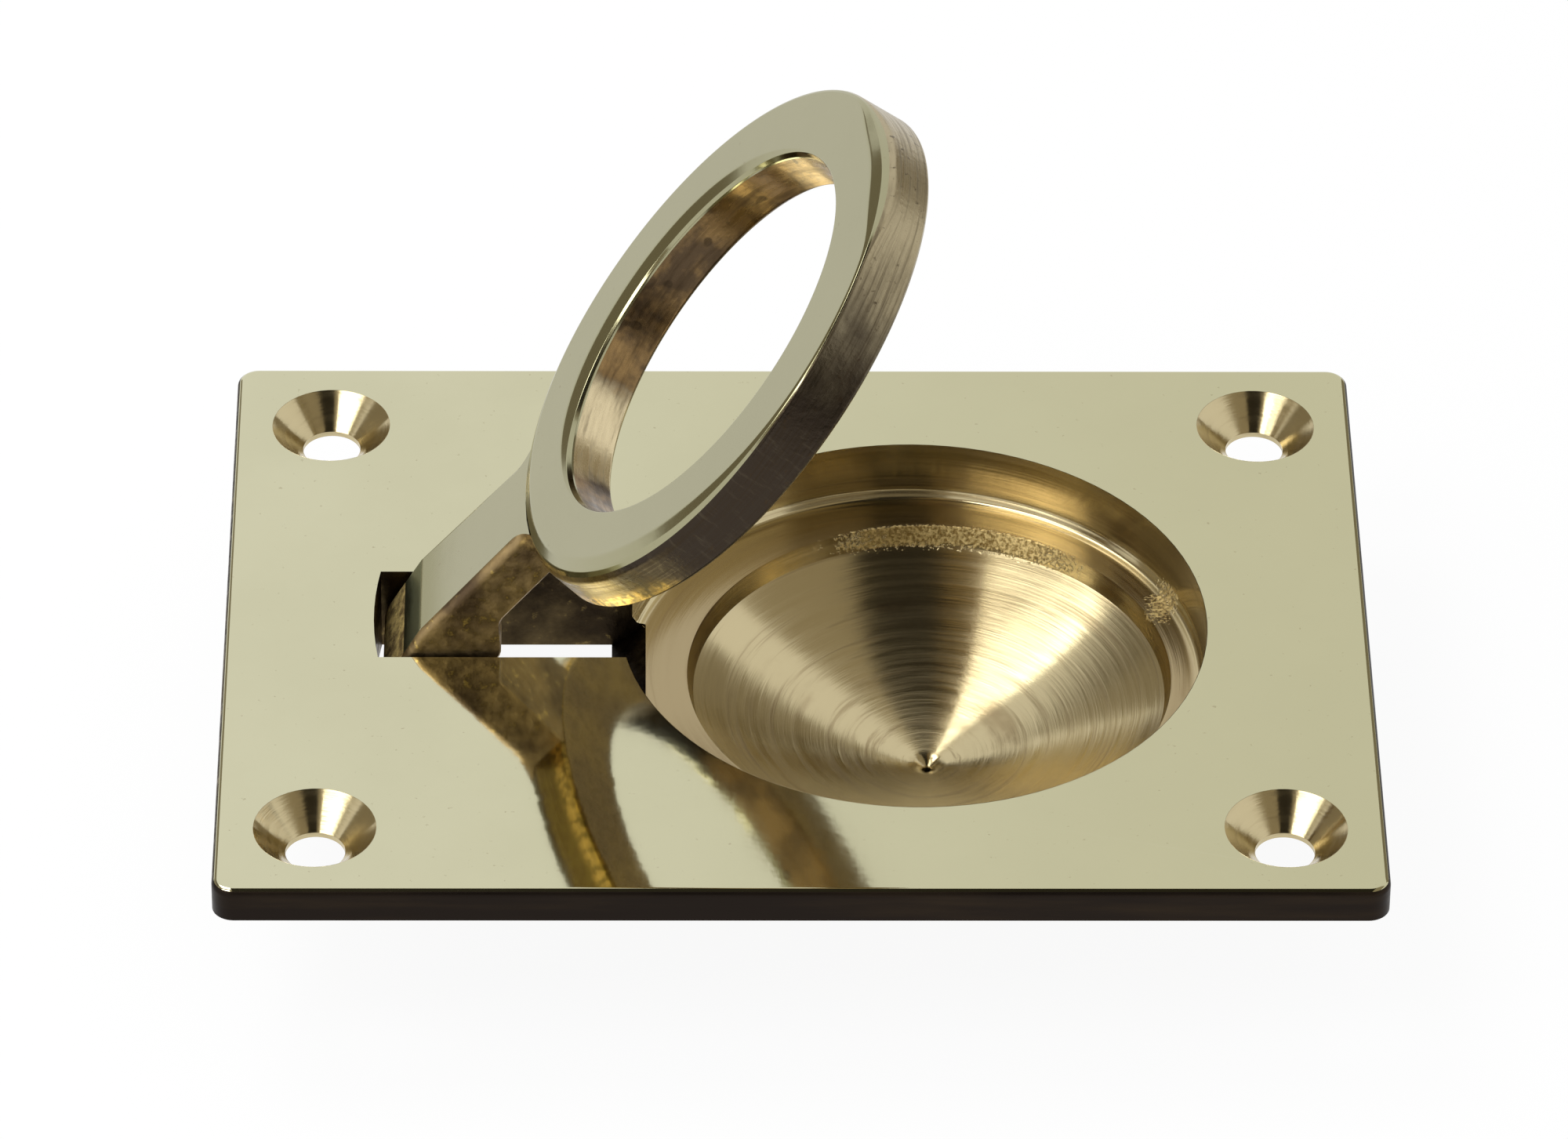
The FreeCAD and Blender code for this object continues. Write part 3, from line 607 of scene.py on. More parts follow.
def cup_profile(cup):
    """Radius, height, and how far the centre has moved from recess to dish, down the cup's inside."""
    top = PLATE_HIGH[2]
    outer, ledge = cup.recess_radius - cup.proud, cup.ledge_z + cup.proud
    wall = np.stack([np.full(16, outer), lerp(top, ledge + cup.ledge_corner, 16)], axis=1)
    turn = np.linspace(0.0, QUARTER_TURN, 26)[1:-1]
    hollow = cup.ledge_corner * (1.0 + cup.corner_ridges * np.sin(8.0 * turn))
    corner = np.stack([outer - cup.ledge_corner + hollow * np.cos(turn),
                       ledge + cup.ledge_corner - hollow * np.sin(turn)], axis=1)
    shelf_r = np.concatenate([lerp(outer - cup.ledge_corner, cup.dish_radius + 0.6 * MM, 9),
                              lerp(cup.dish_radius + 0.5 * MM, cup.dish_radius, 8)])
    shelf = np.stack([shelf_r, np.full(len(shelf_r), ledge)], axis=1)
    lip = np.stack([lerp(cup.dish_radius, cup.dish_radius - cup.lip_run, 13),
                    lerp(ledge, ledge - cup.lip_drop, 13)], axis=1)[1:]
    bottom = top - cup.dish_depth + cup.proud
    bowl = arc_between(lip[-1], (cup.mark_radius, bottom), cup.dish_curve, 34, side=-1.0)[1:]
    mark = np.array([[0.5 * cup.mark_radius, bottom - 0.5 * cup.mark_depth],
                     [0.0, bottom - cup.mark_depth]])
    front = np.concatenate([wall, corner, shelf, lip, bowl, mark])
    shelf_start = len(wall) + len(corner)
    moved = np.zeros(len(front))
    moved[shelf_start:shelf_start + len(shelf)] = np.linspace(0.0, 1.0, len(shelf))
    moved[shelf_start + len(shelf):] = 1.0
    return front, moved


def cup_surface(cup):
    """The cup's worked skin: its points, its profile, and the runs down that and the turns round it.

    A point at turn a of station i is ((1 - k) recess_x + k dish_x + r cos a, r sin a, z), where r, z and
    the share k come from the profile.
    """
    front, moved = cup_profile(cup)
    turn = np.arange(CUP_STEPS) / CUP_STEPS * FULL_TURN
    radius = np.repeat(front[:, :1], CUP_STEPS, axis=1)
    height = np.repeat(front[:, 1:], CUP_STEPS, axis=1)
    run = np.concatenate([[0.0], np.cumsum(np.linalg.norm(np.diff(front, axis=0), axis=1))])
    centre = cup.recess_x + (cup.dish_x - cup.recess_x) * moved[:, None]
    x = centre + radius * np.cos(turn)
    y = radius * np.sin(turn)
    points = np.stack([x, y, height], axis=-1)
    return points, front, run, turn


def crumbled(x, y, seed, pitch, octaves=4, waves=7):
    """A seeded noise over the plane: in each octave, sines running in several random directions."""
    random = np.random.default_rng(seed)
    total = np.zeros(np.broadcast(x, y).shape)
    for octave in range(octaves):
        reach = 2.0 * math.pi * 2.0 ** octave / pitch
        for way, phase in zip(random.uniform(0.0, 2.0 * math.pi, waves),
                              random.uniform(0.0, 2.0 * math.pi, waves)):
            total += np.sin(reach * (x * math.cos(way) + y * math.sin(way)) + phase) / 1.5 ** octave
    return total / (1.6 * math.sqrt(waves))


def torn_share(cup, flat):
    """1 where the dish's steep far rim or the ledge's flaw is torn, falling softly to 0 round it."""
    x, y, z = flat[:, 0] - cup.dish_x, flat[:, 1], flat[:, 2]
    ragged = crumbled(x, y, 31, 1.6 * MM, 3)
    turn = np.degrees(np.arctan2(y, x)) + 2.5 * ragged
    depth = cup.ledge_z - z
    sector = soft_step(turn, 44.0, 64.0) * soft_step(turn, 122.0, 98.0)
    band = soft_step(np.hypot(x, y), cup.dish_radius + 0.3 * MM, cup.dish_radius - 0.05 * MM)
    band *= soft_step(depth, cup.lip_drop + 0.2 * MM, cup.lip_drop - 0.35 * MM)
    flaw_length, flaw_width = 2.6 * MM, 1.3 * MM
    flaw_x, flaw_y = flat[:, 0] - cup.recess_x - 14.2 * MM, y - 6.4 * MM
    along = (0.3 * flaw_x + 0.95 * flaw_y) / flaw_length
    across = (0.95 * flaw_x - 0.3 * flaw_y) / flaw_width
    patch = soft_step(np.hypot(along, across) + 0.15 * ragged, 1.0, 0.25)
    patch *= soft_step(z, cup.ledge_z + 1.1 * MM, cup.ledge_z + 0.3 * MM) * (depth < 0.3 * MM)
    return np.maximum(sector * band, 0.75 * patch)


def soft_step(values, start, end):
    """0 before start and 1 after end, with the smooth step 3 t^2 - 2 t^3 between."""
    level = np.clip((values - start) / (end - start), 0.0, 1.0)
    return level * level * (3.0 - 2.0 * level)


def open_slot(cup, points, quads):
    """Leave out what spans the slot, after moving the skin's edge onto the slot's edge."""
    flat = points.reshape(-1, 3)
    middle = HINGE_PLACE[1]
    ahead = cup.slot_ledge_x - flat[:, 0]
    beside = cup.slot_half - np.abs(flat[:, 1] - middle)
    inside = (ahead > 0.0) & (beside > 0.0)
    gone = inside[quads].all(axis=1)
    on_wall = flat[:, 2] > cup.ledge_z + 0.1 * MM
    to_side = inside & (on_wall | (beside < ahead))
    flat[to_side, 1] = middle + np.sign(flat[to_side, 1] - middle) * cup.slot_half
    to_end = inside & ~to_side
    flat[to_end, 0] = cup.slot_ledge_x
    return flat, quads[~gone], gone


def closed_revolve(profile, steps, centre):
    """Turn a profile of radius and height about an upright axis: (c + r cos a, d + r sin a, z)."""
    turn = np.arange(steps) / steps * FULL_TURN
    x = centre[0] + profile[:, :1] * np.cos(turn)
    y = centre[1] + profile[:, :1] * np.sin(turn)
    z = np.repeat(profile[:, 1:], steps, axis=1)
    points = np.stack([x, y, z], axis=-1)
    quads = grid_faces(len(profile), steps, wrap_rows=True, wrap_columns=True)
    run = np.concatenate([[0.0], np.cumsum(np.linalg.norm(np.diff(profile, axis=0), axis=1))])
    u = np.repeat((np.arange(steps) / steps)[None, :], len(profile), axis=0)
    v = np.repeat(run[:, None], steps, axis=1)
    return points, quads, wrapped_uv(u, v, quads)


def build_cup(settings):
    """The turned recess, ledge and dish, as a thin closed lining over the casting, coarser behind."""
    cup = settings.cup
    points, front, run, turn = cup_surface(cup)
    behind = points.copy()[::-1]
    slope = np.gradient(front, axis=0)
    slope /= np.linalg.norm(slope, axis=1)[:, None]
    outwards = np.stack([slope[:, 1], -slope[:, 0]], axis=1)[::-1] * -cup.lining
    behind[:, :, 0] += outwards[:, :1] * np.cos(turn)
    behind[:, :, 1] += outwards[:, :1] * np.sin(turn)
    behind[:, :, 2] += outwards[:, 1:]
    coarser = slice(None, None, 6)
    shell = np.concatenate([points, behind[coarser]])
    steps = len(turn)
    quads = grid_faces(len(shell), steps, wrap_rows=True, wrap_columns=True)
    u = np.repeat((turn / FULL_TURN)[None, :], len(shell), axis=0)
    v = np.repeat(np.concatenate([run, run[::-1][coarser]])[:, None], steps, axis=1)
    uv = wrapped_uv(u, v, quads)
    flat, kept, gone = open_slot(cup, shell, quads)
    wall_end = PLATE_HIGH[2] - cup.ledge_z - cup.ledge_corner
    ledge_start = wall_end + QUARTER_TURN * cup.ledge_corner
    ledge_end = ledge_start + cup.recess_radius - cup.ledge_corner - cup.dish_radius
    materials = [turned_brass("turned_brass", settings.colours, ledge=(ledge_start, ledge_end))]
    piece = mesh_from_quads("cup_turning", flat, kept, materials, uv=uv[~gone], sharp=math.radians(40),
                            torn=torn_share(cup, flat))
    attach(piece, "plate")
    return piece


def build_sinks(settings):
    """Four turned countersinks with a thin closed skin each: a cone between face and hole."""
    sizes = settings.plate
    top = PLATE_HIGH[2]
    hole = BOLTS["hole_r_mm"] * MM
    outer = sizes.sink_radius
    proud = 0.02 * MM
    cone_foot = top - (outer - hole)
    front = np.concatenate([
        np.stack([lerp(outer, hole, 14), lerp(top, cone_foot, 14)], axis=1),
        np.stack([np.full(5, hole), lerp(cone_foot, 0.0, 6)[1:]], axis=1)])
    front[:, 0] -= proud
    back = front[::-3] + (0.1 * MM, -0.03 * MM)
    profile = np.concatenate([front, back])
    points, quads, places = [], [], []
    for side_x in (-0.5, 0.5):
        for side_y in (-0.5, 0.5):
            centre = (side_x * BOLTS["spacing_x_mm"] * MM, side_y * BOLTS["spacing_y_mm"] * MM)
            ring, faces, uv = closed_revolve(profile, SINK_STEPS, centre)
            quads.append(faces + len(points) * ring.shape[0] * ring.shape[1])
            points.append(ring.reshape(-1, 3))
            places.append(uv)
    materials = [turned_brass("sink_brass", settings.colours, streaks=0.35)]
    piece = mesh_from_quads("screw_sinks", np.concatenate(points), np.concatenate(quads), materials,
                            uv=np.concatenate(places), sharp=math.radians(30))
    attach(piece, "plate")
    return piece


def build_plate(settings):
    """The casting itself: a merged copy of its solid, each face given the finish of its place."""
    colours = settings.colours
    source = frame["nodes"]["plate_body"]
    mesh = source.data.copy()
    mesh.name = "plate_casting"
    work = bmesh.new()
    work.from_mesh(mesh)
    bmesh.ops.remove_doubles(work, verts=work.verts, dist=2e-6)
    bmesh.ops.dissolve_limit(work, angle_limit=math.radians(0.2), verts=work.verts, edges=work.edges,
                             use_dissolve_boundaries=False)
    work.to_mesh(mesh)
    work.free()
    mesh.materials.clear()
    for material in (polished_brass("face_brass", colours.polished, colours.warmer, colours.cast, 0.06),
                     # The sides' near-black finish is painted shade.
                     shaded_edge_finish("edge_brass", colours),
                     cast_brass("cast_brass", colours),
                     # The slot's walls: the casting skin darkened to 0.45 with fewer bare glints, painted shade
                     # inside the slot.
                     cast_brass("slot_brass", colours, roughness=0.4, glints=0.12, depth=0.45)):
        mesh.materials.append(material)
    mesh.polygons.foreach_set("material_index", plate_finishes(mesh, settings.plate))
    mesh.shade_smooth()
    mesh.set_sharp_from_angle(angle=math.radians(25))
    piece = bpy.data.objects.new("plate_casting", mesh)
    bpy.context.scene.collection.objects.link(piece)
    weighted = piece.modifiers.new("level_faces", "WEIGHTED_NORMAL")
    weighted.mode = "FACE_AREA"
    weighted.weight = 90
    weighted.keep_sharp = True
    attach(piece, "plate")
    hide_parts("plate_body")
    return piece


def plate_finishes(mesh, sizes):
    """0 polished face and its rounded edge, 1 sides in near-black painted shade, 2 casting skin, 3 the slot's
    walls, darkened as painted shade.
    """
    count = len(mesh.polygons)
    centre, normal = np.empty(count * 3), np.empty(count * 3)
    mesh.polygons.foreach_get("center", centre)
    mesh.polygons.foreach_get("normal", normal)
    centre, normal = centre.reshape(-1, 3), normal.reshape(-1, 3)
    finish = np.full(count, 2, dtype=np.int32)
    top = PLATE_HIGH[2]
    side_band, slot_end, slot_side = 0.6 * MM, -8.0 * MM, 4.0 * MM
    near_side = ((np.abs(centre[:, 0]) > PLATE_HIGH[0] - side_band)
                 | (np.abs(centre[:, 1]) > PLATE_HIGH[1] - side_band)) & (centre[:, 2] > 0.0)
    finish[near_side] = 1
    in_slot = (centre[:, 0] < slot_end) & (np.abs(centre[:, 1] - HINGE_PLACE[1]) < slot_side)
    finish[in_slot & (centre[:, 2] < top - 0.01 * MM)] = 3
    steepest = np.where(near_side, 0.72, 0.99)
    finish[(centre[:, 2] > top - sizes.worked_depth) & (normal[:, 2] > steepest)] = 0
    return finish


def ring_section(ring, soft, hole_soft):
    """The ring's section: its bevelled corners, each rounded, from the underside's rim round to its hole.

    soft is the share of the full soft edge that is left outside, and hole_soft the same at the hole.
    """
    top, under = ring.face, ring.face - ring.thick
    back = ring.back_bevel
    slope = ring.radius - ring.draft
    slope_run, slope_drop = ring.slope_run * soft, ring.slope_drop * soft
    edge, edge_z = slope - slope_run, top - ring.edge_drop * soft
    inner = ring.hole + ring.bevel_run
    corners = [(ring.radius - back, under), (ring.radius, under + back),
               (slope, edge_z - slope_drop), (edge, edge_z), (edge - ring.edge_run * soft, top),
               (inner + ring.dip_run * hole_soft, top), (inner, top - ring.dip_drop * hole_soft),
               (ring.hole, top - ring.bevel_drop),
               (ring.hole - ring.hole_draft, under + back), (ring.hole - ring.hole_draft + back, under)]
    small = 0.12
    radii = np.array([small, small, 0.5 * soft, 0.3 * soft, 0.8 * soft, 0.9 * hole_soft, 0.08,
                      small, small, small])
    return rounded_path(corners, radii * MM, arc_steps=6)


def ring_band(ring, steps):
    """The turned band of the ring: closed_revolve, but with a section that softens with the turn.

    At turn t the section is A + s(t) (B - A) outside and A + h(t) (C - A) at the hole, where A is crisp
    all round, B is soft outside and C soft at the hole, and s and h are smooth hills round the ring.
    """
    crisp = ring_section(ring, CRISP, CRISP_HOLE)
    soft = ring_section(ring, 1.0, CRISP_HOLE)
    dipped = ring_section(ring, CRISP, 1.0)
    points, quads, uv = closed_revolve(crisp, steps, (ring.arm, 0.0))
    turn = np.arange(steps) / steps * FULL_TURN
    outside = smooth_hill(turn, 220.0, 62.0) + smooth_hill(turn, 0.0, 22.0)
    inside = smooth_hill(turn, 118.0, 62.0)
    section = (crisp[:, None] + (soft - crisp)[:, None] * outside[None, :, None]
               + (dipped - crisp)[:, None] * inside[None, :, None])
    points[..., 0] = ring.arm + section[..., 0] * np.cos(turn)
    points[..., 1] = section[..., 0] * np.sin(turn)
    points[..., 2] = section[..., 1]
    return points, quads, uv, soft


def smooth_hill(turn, middle, width):
    """exp(-(d / w)^4), where d is how far a turn lies from the middle and w the width, in degrees."""
    away = (turn - math.radians(middle) + math.pi) % FULL_TURN - math.pi
    return np.exp(-(away / math.radians(width)) ** 4)


def tongue_lines(ring):
    """Top and underside of the tongue's side view, from the hub's end towards the ring.

    Both start at the hub's far point. The top goes round the hub, up the ramp and stops at the crease,
    and the underside goes round the hub, along the sole, round the heel's tip and up to the tongue.
    """
    cos, sin = math.cos(ring.ramp), math.sin(ring.ramp)
    tongue_top = ring.face - ring.tongue_drop
    crease = (tongue_top * cos - ring.hub) / sin
    round_top = np.linspace(math.pi, 0.5 * math.pi + ring.ramp, 12)
    over = np.stack([np.cos(round_top), np.sin(round_top)], axis=1) * ring.hub
    sole = ring.sole_angle
    round_under = np.linspace(math.pi, 1.5 * math.pi + sole, 14)
    around = np.stack([np.cos(round_under), np.sin(round_under)], axis=1) * ring.hub
    tip = around[-1] + ring.heel_sole * np.array([math.cos(sole), math.sin(sole)])
    under = tongue_top - ring.tongue_thick
    heel = rounded_path([around[-1], tip, (ring.heel_reach, under), (ring.heel_reach + 5.0 * MM, under)],
                        [0.0, ring.heel_round, ring.heel_fillet, 0.0], arc_steps=7, closed=False)
    return over, np.array([crease, tongue_top]), np.concatenate([around[:-1], heel])


def resampled(line, steps):
    """The same line with its points spaced evenly along it."""
    run = np.concatenate([[0.0], np.cumsum(np.linalg.norm(np.diff(line, axis=0), axis=1))])
    want = np.linspace(0.0, run[-1], steps)
    return np.stack([np.interp(want, run, line[:, 0]), np.interp(want, run, line[:, 1])], axis=1)


def tongue_surface(ring, shift):
    """The tongue as stations from hub to ring, each a closed loop of points round its section.

    Station s has a top point T(s) and an underside point B(s) in the side view, and half a width w(s).
    A loop point is (T + q (B - T), y), where q runs from 0 at the top to 1 below and y follows a
    rectangle whose upper corners are bevelled. Over the last stations T is carried on to the circle
    of the ring's face, so that tongue and face meet in one line.
    """
    over, crease, below = tongue_lines(ring)
    up_ramp = crease + (over[-1] - crease) * np.array([0.96, 0.5, 0.04, 0.0])[:, None]
    top_near = np.concatenate([over, up_ramp])
    stations_far, stations_last = 46, 8
    total = len(top_near) + stations_far
    last_u = lerp(ring.heel_reach + 5.3 * MM, ring.arm - 0.5 * (ring.radius + ring.hole), stations_last)
    last_h = np.full(stations_last, crease[1] - ring.tongue_thick)
    bottom_line = np.concatenate([resampled(below, total - stations_last),
                                  np.stack([last_u, last_h], axis=1)])
    top_u = np.concatenate([top_near[:, 0], np.full(stations_far, crease[0])])
    top_h = np.concatenate([top_near[:, 1], np.full(stations_far, crease[1])])
    carried = np.concatenate([np.zeros(len(top_near)), np.linspace(0.0, 1.0, stations_far + 1)[1:]])
    neck_u = ring.arm - ring.radius + ring.neck_flare * 0.5
    face_radius = ring.radius - ring.draft - ring.slope_run
    middle_end = ring.arm - math.sqrt(face_radius ** 2 - (0.5 * ring.neck_width) ** 2)
    along = top_u + carried * (middle_end - crease[0])
    taper = np.clip((along + ring.hub) / (neck_u + ring.hub), 0.0, 1.0)
    flare_run, flare_width, under_bevel = 0.9 * MM, 1.1 * MM, 0.1 * MM
    flare = np.clip((along - neck_u + flare_run) / (middle_end - neck_u + flare_run), 0.0, 1.0)
    half = 0.5 * (ring.hub_width + (ring.neck_width - ring.hub_width) * taper) + flare_width * flare ** 2.2
    bevel = ring.edge_bevel
    y_in = half[:, None] - bevel
    loop_y = np.concatenate([y_in * np.array([-0.97, -0.6, -0.2, 0.2, 0.6, 0.97]), y_in,
                             half[:, None] - bevel * np.array([0.55, 0.18, 0.0]),
                             half[:, None] * np.ones((1, 5)),
                             half[:, None] - under_bevel,
                             -(half[:, None] - under_bevel),
                             -half[:, None] * np.ones((1, 5)),
                             -(half[:, None] - bevel * np.array([0.0, 0.18, 0.55])),
                             -y_in], axis=1)
    depth = np.maximum(np.linalg.norm(bottom_line - np.stack([along, top_h], axis=1), axis=1), 1e-6)
    fall = np.minimum(bevel / depth, 0.3)[:, None]
    nick = np.minimum(under_bevel / depth, 0.1)[:, None]
    down = fall + (1.0 - nick - fall) * np.array([0.08, 0.3, 0.55, 0.8, 1.0])
    loop_q = np.concatenate([np.zeros((total, TONGUE_TOP_POINTS)), fall * np.array([0.3, 0.62, 1.0]), down,
                             np.ones((total, 2)), down[:, ::-1], fall * np.array([1.0, 0.62, 0.3]),
                             np.zeros((total, 1))], axis=1)
    reach = ring.arm - np.sqrt(face_radius ** 2 - np.minimum(np.abs(loop_y + shift), face_radius) ** 2)
    start_u = top_u[:, None] + carried[:, None] * (reach - crease[0])
    u = start_u + loop_q * (bottom_line[:, :1] - start_u)
    h = top_h[:, None] + loop_q * (bottom_line[:, 1:] - top_h[:, None])
    return u, loop_y + shift, h


def raise_ring(u, y, h):
    """From the ring's own flat frame to its raised place: turned about the hinge by the lift."""
    cos, sin = math.cos(RING_LIFT), math.sin(RING_LIFT)
    return np.stack([HINGE_PLACE[0] + u * cos - h * sin, y, HINGE_PLACE[2] + u * sin + h * cos], axis=-1)


def build_ring(settings):
    """Ring and tongue in one piece: a turned band and a tongue whose top runs flush into its face."""
    ring = settings.ring
    band, band_quads, band_uv, section = ring_band(ring, RING_STEPS)
    band_points = raise_ring(band[..., 0], band[..., 1], band[..., 2]).reshape(-1, 3)
    band_finish = band_finishes(ring, section, band_quads)

    u, y, h = tongue_surface(ring, HINGE_PLACE[1])
    rows, columns = u.shape
    tongue_points = raise_ring(u, y, h).reshape(-1, 3)
    tongue_quads = grid_faces(rows, columns, wrap_columns=True)
    round_loop = tongue_quads[:, 0] % columns
    on_top = (round_loop < TONGUE_TOP_POINTS) | (round_loop == columns - 1)
    station = tongue_quads[:, 0] // columns
    hub_stations, ramp_stations = 13, 15
    top_finish = np.select([station < hub_stations, station < ramp_stations], [6, 5], 0)
    tongue_finish = np.where(on_top, top_finish, 3)
    tongue_uv = corner_uv(u, y, tongue_quads)

    colours = settings.colours
    materials = [polished_brass("ring_face_brass", colours.ring_face, colours.ring_face, colours.cast, 0.12),
                 rim_brass("rim_brass", colours),
                 hole_brass("hole_brass", colours),
                 cast_brass("tongue_brass", colours, roughness=0.4, glints=1.0, grain=1500.0, depth=2.3),
                 back_brass("back_brass", colours),
                 # The ramp: the polished face again in the darker ramp colour, as painted shade.
                 polished_brass("ramp_brass", colours.ramp, colours.ramp, colours.cast, 0.3),
                 crumb_brass("hub_brass", colours)]
    piece = mesh_from_quads("ring_casting", np.concatenate([band_points, tongue_points]),
                            np.concatenate([band_quads, tongue_quads + len(band_points)]), materials,
                            finish=np.concatenate([band_finish, tongue_finish]),
                            uv=np.concatenate([band_uv, tongue_uv]), sharp=math.radians(38))
    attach(piece, "ring")
    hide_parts("ring")
    return piece


def band_finishes(ring, section, quads):
    """0 polished face, 1 rim, 2 the finger hole's wall, 4 underside, by where a quad lies on the section."""
    middle = 0.5 * (section + np.roll(section, -1, axis=0))
    finish = np.ones(len(section), dtype=np.int32)
    polished = middle[:, 1] > ring.face - ring.edge_drop - 0.6 * ring.slope_drop
    finish[polished] = 0
    inner = (middle[:, 0] < ring.hole + 0.2 * MM) & ~polished
    finish[inner] = 2
    finish[middle[:, 1] < ring.face - ring.thick + 0.05 * MM] = 4
    return finish[quads[:, 0] // RING_STEPS]


def build_pin(settings):
    """The hinge pin keeps its solid and takes a drawn rod's finish."""
    node = frame["nodes"]["hinge_pin"]
    material = rod_brass("pin_rod", settings.colours)
    for slot in node.material_slots:
        slot.material = material


def build_floor(stage):
    """A pale floor below the cup. The camera sees it nearly white, and it keeps a faint shadow."""
    size = stage.floor_size
    corners = np.array([(-1, -1), (1, -1), (1, 1), (-1, 1)]) * size / 2
    points = np.column_stack([corners, np.full(4, -stage.floor_drop)])
    mesh = bpy.data.meshes.new("floor")
    mesh.from_pydata(points, [], [(0, 1, 2, 3)])
    kit = Nodes("floor_white")
    path = kit.add("LightPath")
    kit.shader.inputs["Base Color"].default_value = (0.8, 0.8, 0.8, 1.0)
    kit.shader.inputs["Roughness"].default_value = 0.9
    kit.shader.inputs["Specular IOR Level"].default_value = 0.0
    glow = kit.add("Emission", {"Color": (1.0, 1.0, 1.0, 1.0), "Strength": 1.0})
    seen = kit.math("MAXIMUM", path.outputs["Is Camera Ray"],
                    kit.math("MAXIMUM", path.outputs["Is Glossy Ray"], path.outputs["Is Transmission Ray"]))
    blend = kit.add("MixShader", {0: kit.math("MULTIPLY", seen, stage.floor_glow)})
    kit.feed(blend.inputs[1], kit.shader.outputs[0])
    kit.feed(blend.inputs[2], glow.outputs[0])
    kit.feed(kit.tree.nodes["Material Output"].inputs["Surface"], blend.outputs[0])
    mesh.materials.append(kit.material)
    floor = bpy.data.objects.new("floor", mesh)
    bpy.context.scene.collection.objects.link(floor)


def overhead_span(low, high, height):
    """Middle and size of a level rectangle overhead.

    Its sides are given as runs along X and Y for each unit of height, seen from the dish.
    """
    low, high = np.array(low) * height, np.array(high) * height
    middle = (low + high) / 2
    return (DISH_MIDDLE[0] + middle[0], DISH_MIDDLE[1] + middle[1], height), high - low


def build_lamp(name, low, high, height, level):
    """A level soft lamp overhead, unseen by the camera itself. A level of 1 is as bright as white."""
    place, size = overhead_span(low, high, height)
    data = bpy.data.lights.new(name, "AREA")
    data.shape = "RECTANGLE"
    data.size, data.size_y = size
    data.energy = level * math.pi * size[0] * size[1]
    lamp = bpy.data.objects.new(name, data)
    lamp.location = place
    lamp.visible_camera = False
    bpy.context.scene.collection.objects.link(lamp)


def build_card(name, corners, level, tint):
    """A plain card of one brightness that shows only in the brass."""
    mesh = bpy.data.meshes.new(name)
    mesh.from_pydata(corners, [], [(0, 1, 2, 3)])
    kit = Nodes(name)
    glow = kit.add("Emission", {"Color": rgba(tint), "Strength": level})
    kit.feed(kit.tree.nodes["Material Output"].inputs["Surface"], glow.outputs[0])
    mesh.materials.append(kit.material)
    card = bpy.data.objects.new(name, mesh)
    card.visible_camera = False
    card.visible_diffuse = False
    card.visible_shadow = False
    bpy.context.scene.collection.objects.link(card)


def build_ceiling(name, low, high, height, level, tint):
    """A level card overhead."""
    (x, y, z), size = overhead_span(low, high, height)
    half_x, half_y = size / 2
    corners = [(x + side_x * half_x, y + side_y * half_y, z)
               for side_x, side_y in ((-1, -1), (1, -1), (1, 1), (-1, 1))]
    build_card(name, corners, level, tint)


def build_flag(name, turns, rises, distance, level, tint):
    """A bent card round the dish, between two turns about the upright and two rises over the level.

    Its corner at turn t and rise e is d (cos e cos t, cos e sin t, sin e), where d is the distance.
    """
    corners = []
    for turn, rise in zip((turns[0], turns[1], turns[1], turns[0]), np.repeat(rises, 2)):
        turn, rise = math.radians(turn), math.radians(rise)
        corners.append((DISH_MIDDLE[0] + distance * math.cos(rise) * math.cos(turn),
                        DISH_MIDDLE[1] + distance * math.cos(rise) * math.sin(turn),
                        distance * math.sin(rise)))
    build_card(name, corners, level, tint)


def build_world(stage):
    """A pale room: white to the camera, to metal and to glass, and a plain level elsewhere."""
    world = bpy.data.worlds.new("pale_room")
    world.use_nodes = True
    tree = world.node_tree
    path = tree.nodes.new("ShaderNodeLightPath")
    seen = path.outputs["Is Camera Ray"]
    for other in ("Is Glossy Ray", "Is Transmission Ray"):
        either = tree.nodes.new("ShaderNodeMath")
        either.operation = "MAXIMUM"
        tree.links.new(seen, either.inputs[0])
        tree.links.new(path.outputs[other], either.inputs[1])
        seen = either.outputs[0]
    pick = tree.nodes.new("ShaderNodeMix")
    pick.inputs[2].default_value = stage.world_level
    pick.inputs[3].default_value = 1.0
    tree.links.new(seen, pick.inputs[0])
    tree.links.new(pick.outputs[0], tree.nodes["Background"].inputs["Strength"])
    tree.nodes["Background"].inputs["Color"].default_value = (1.0, 1.0, 1.0, 1.0)
    bpy.context.scene.world = world


def build_lights(stage):
    """Two lamps overhead, and cards that give the turned brass its darker sectors."""
    build_world(stage)
    warm = stage.card_tint
    build_lamp("main_lamp", (-0.72, 0.02), (-0.2, 0.5), 0.5, stage.lamp_level)
    build_lamp("front_lamp", (-1.15, -0.85), (-0.32, -0.25), 0.5, stage.lamp_level)
    build_ceiling("ceiling", (-1.4, -1.75), (1.05, 0.46), 0.62, stage.ceiling_level, warm)
    build_ceiling("dark_beam", (-0.19, -1.75), (0.33, 0.36), 0.43, stage.beam_level, warm)
    build_ceiling("left_board", (-2.0, 0.3), (-0.8, 1.5), 0.6, stage.board_level, warm)
    build_flag("left_flag", (119.0, 140.0), (11.0, 31.0), 0.8, stage.flag_level, warm)
    build_flag("side_flag", (140.0, 178.0), (1.5, 33.0), 0.8, stage.flag_level, warm)
    build_flag("front_flag", (256.0, 318.0), (9.0, 31.0), 0.8, stage.board_level, warm)
    build_flag("right_flag", (38.0, 66.0), (4.0, 32.0), 0.8, stage.flag_level, warm)


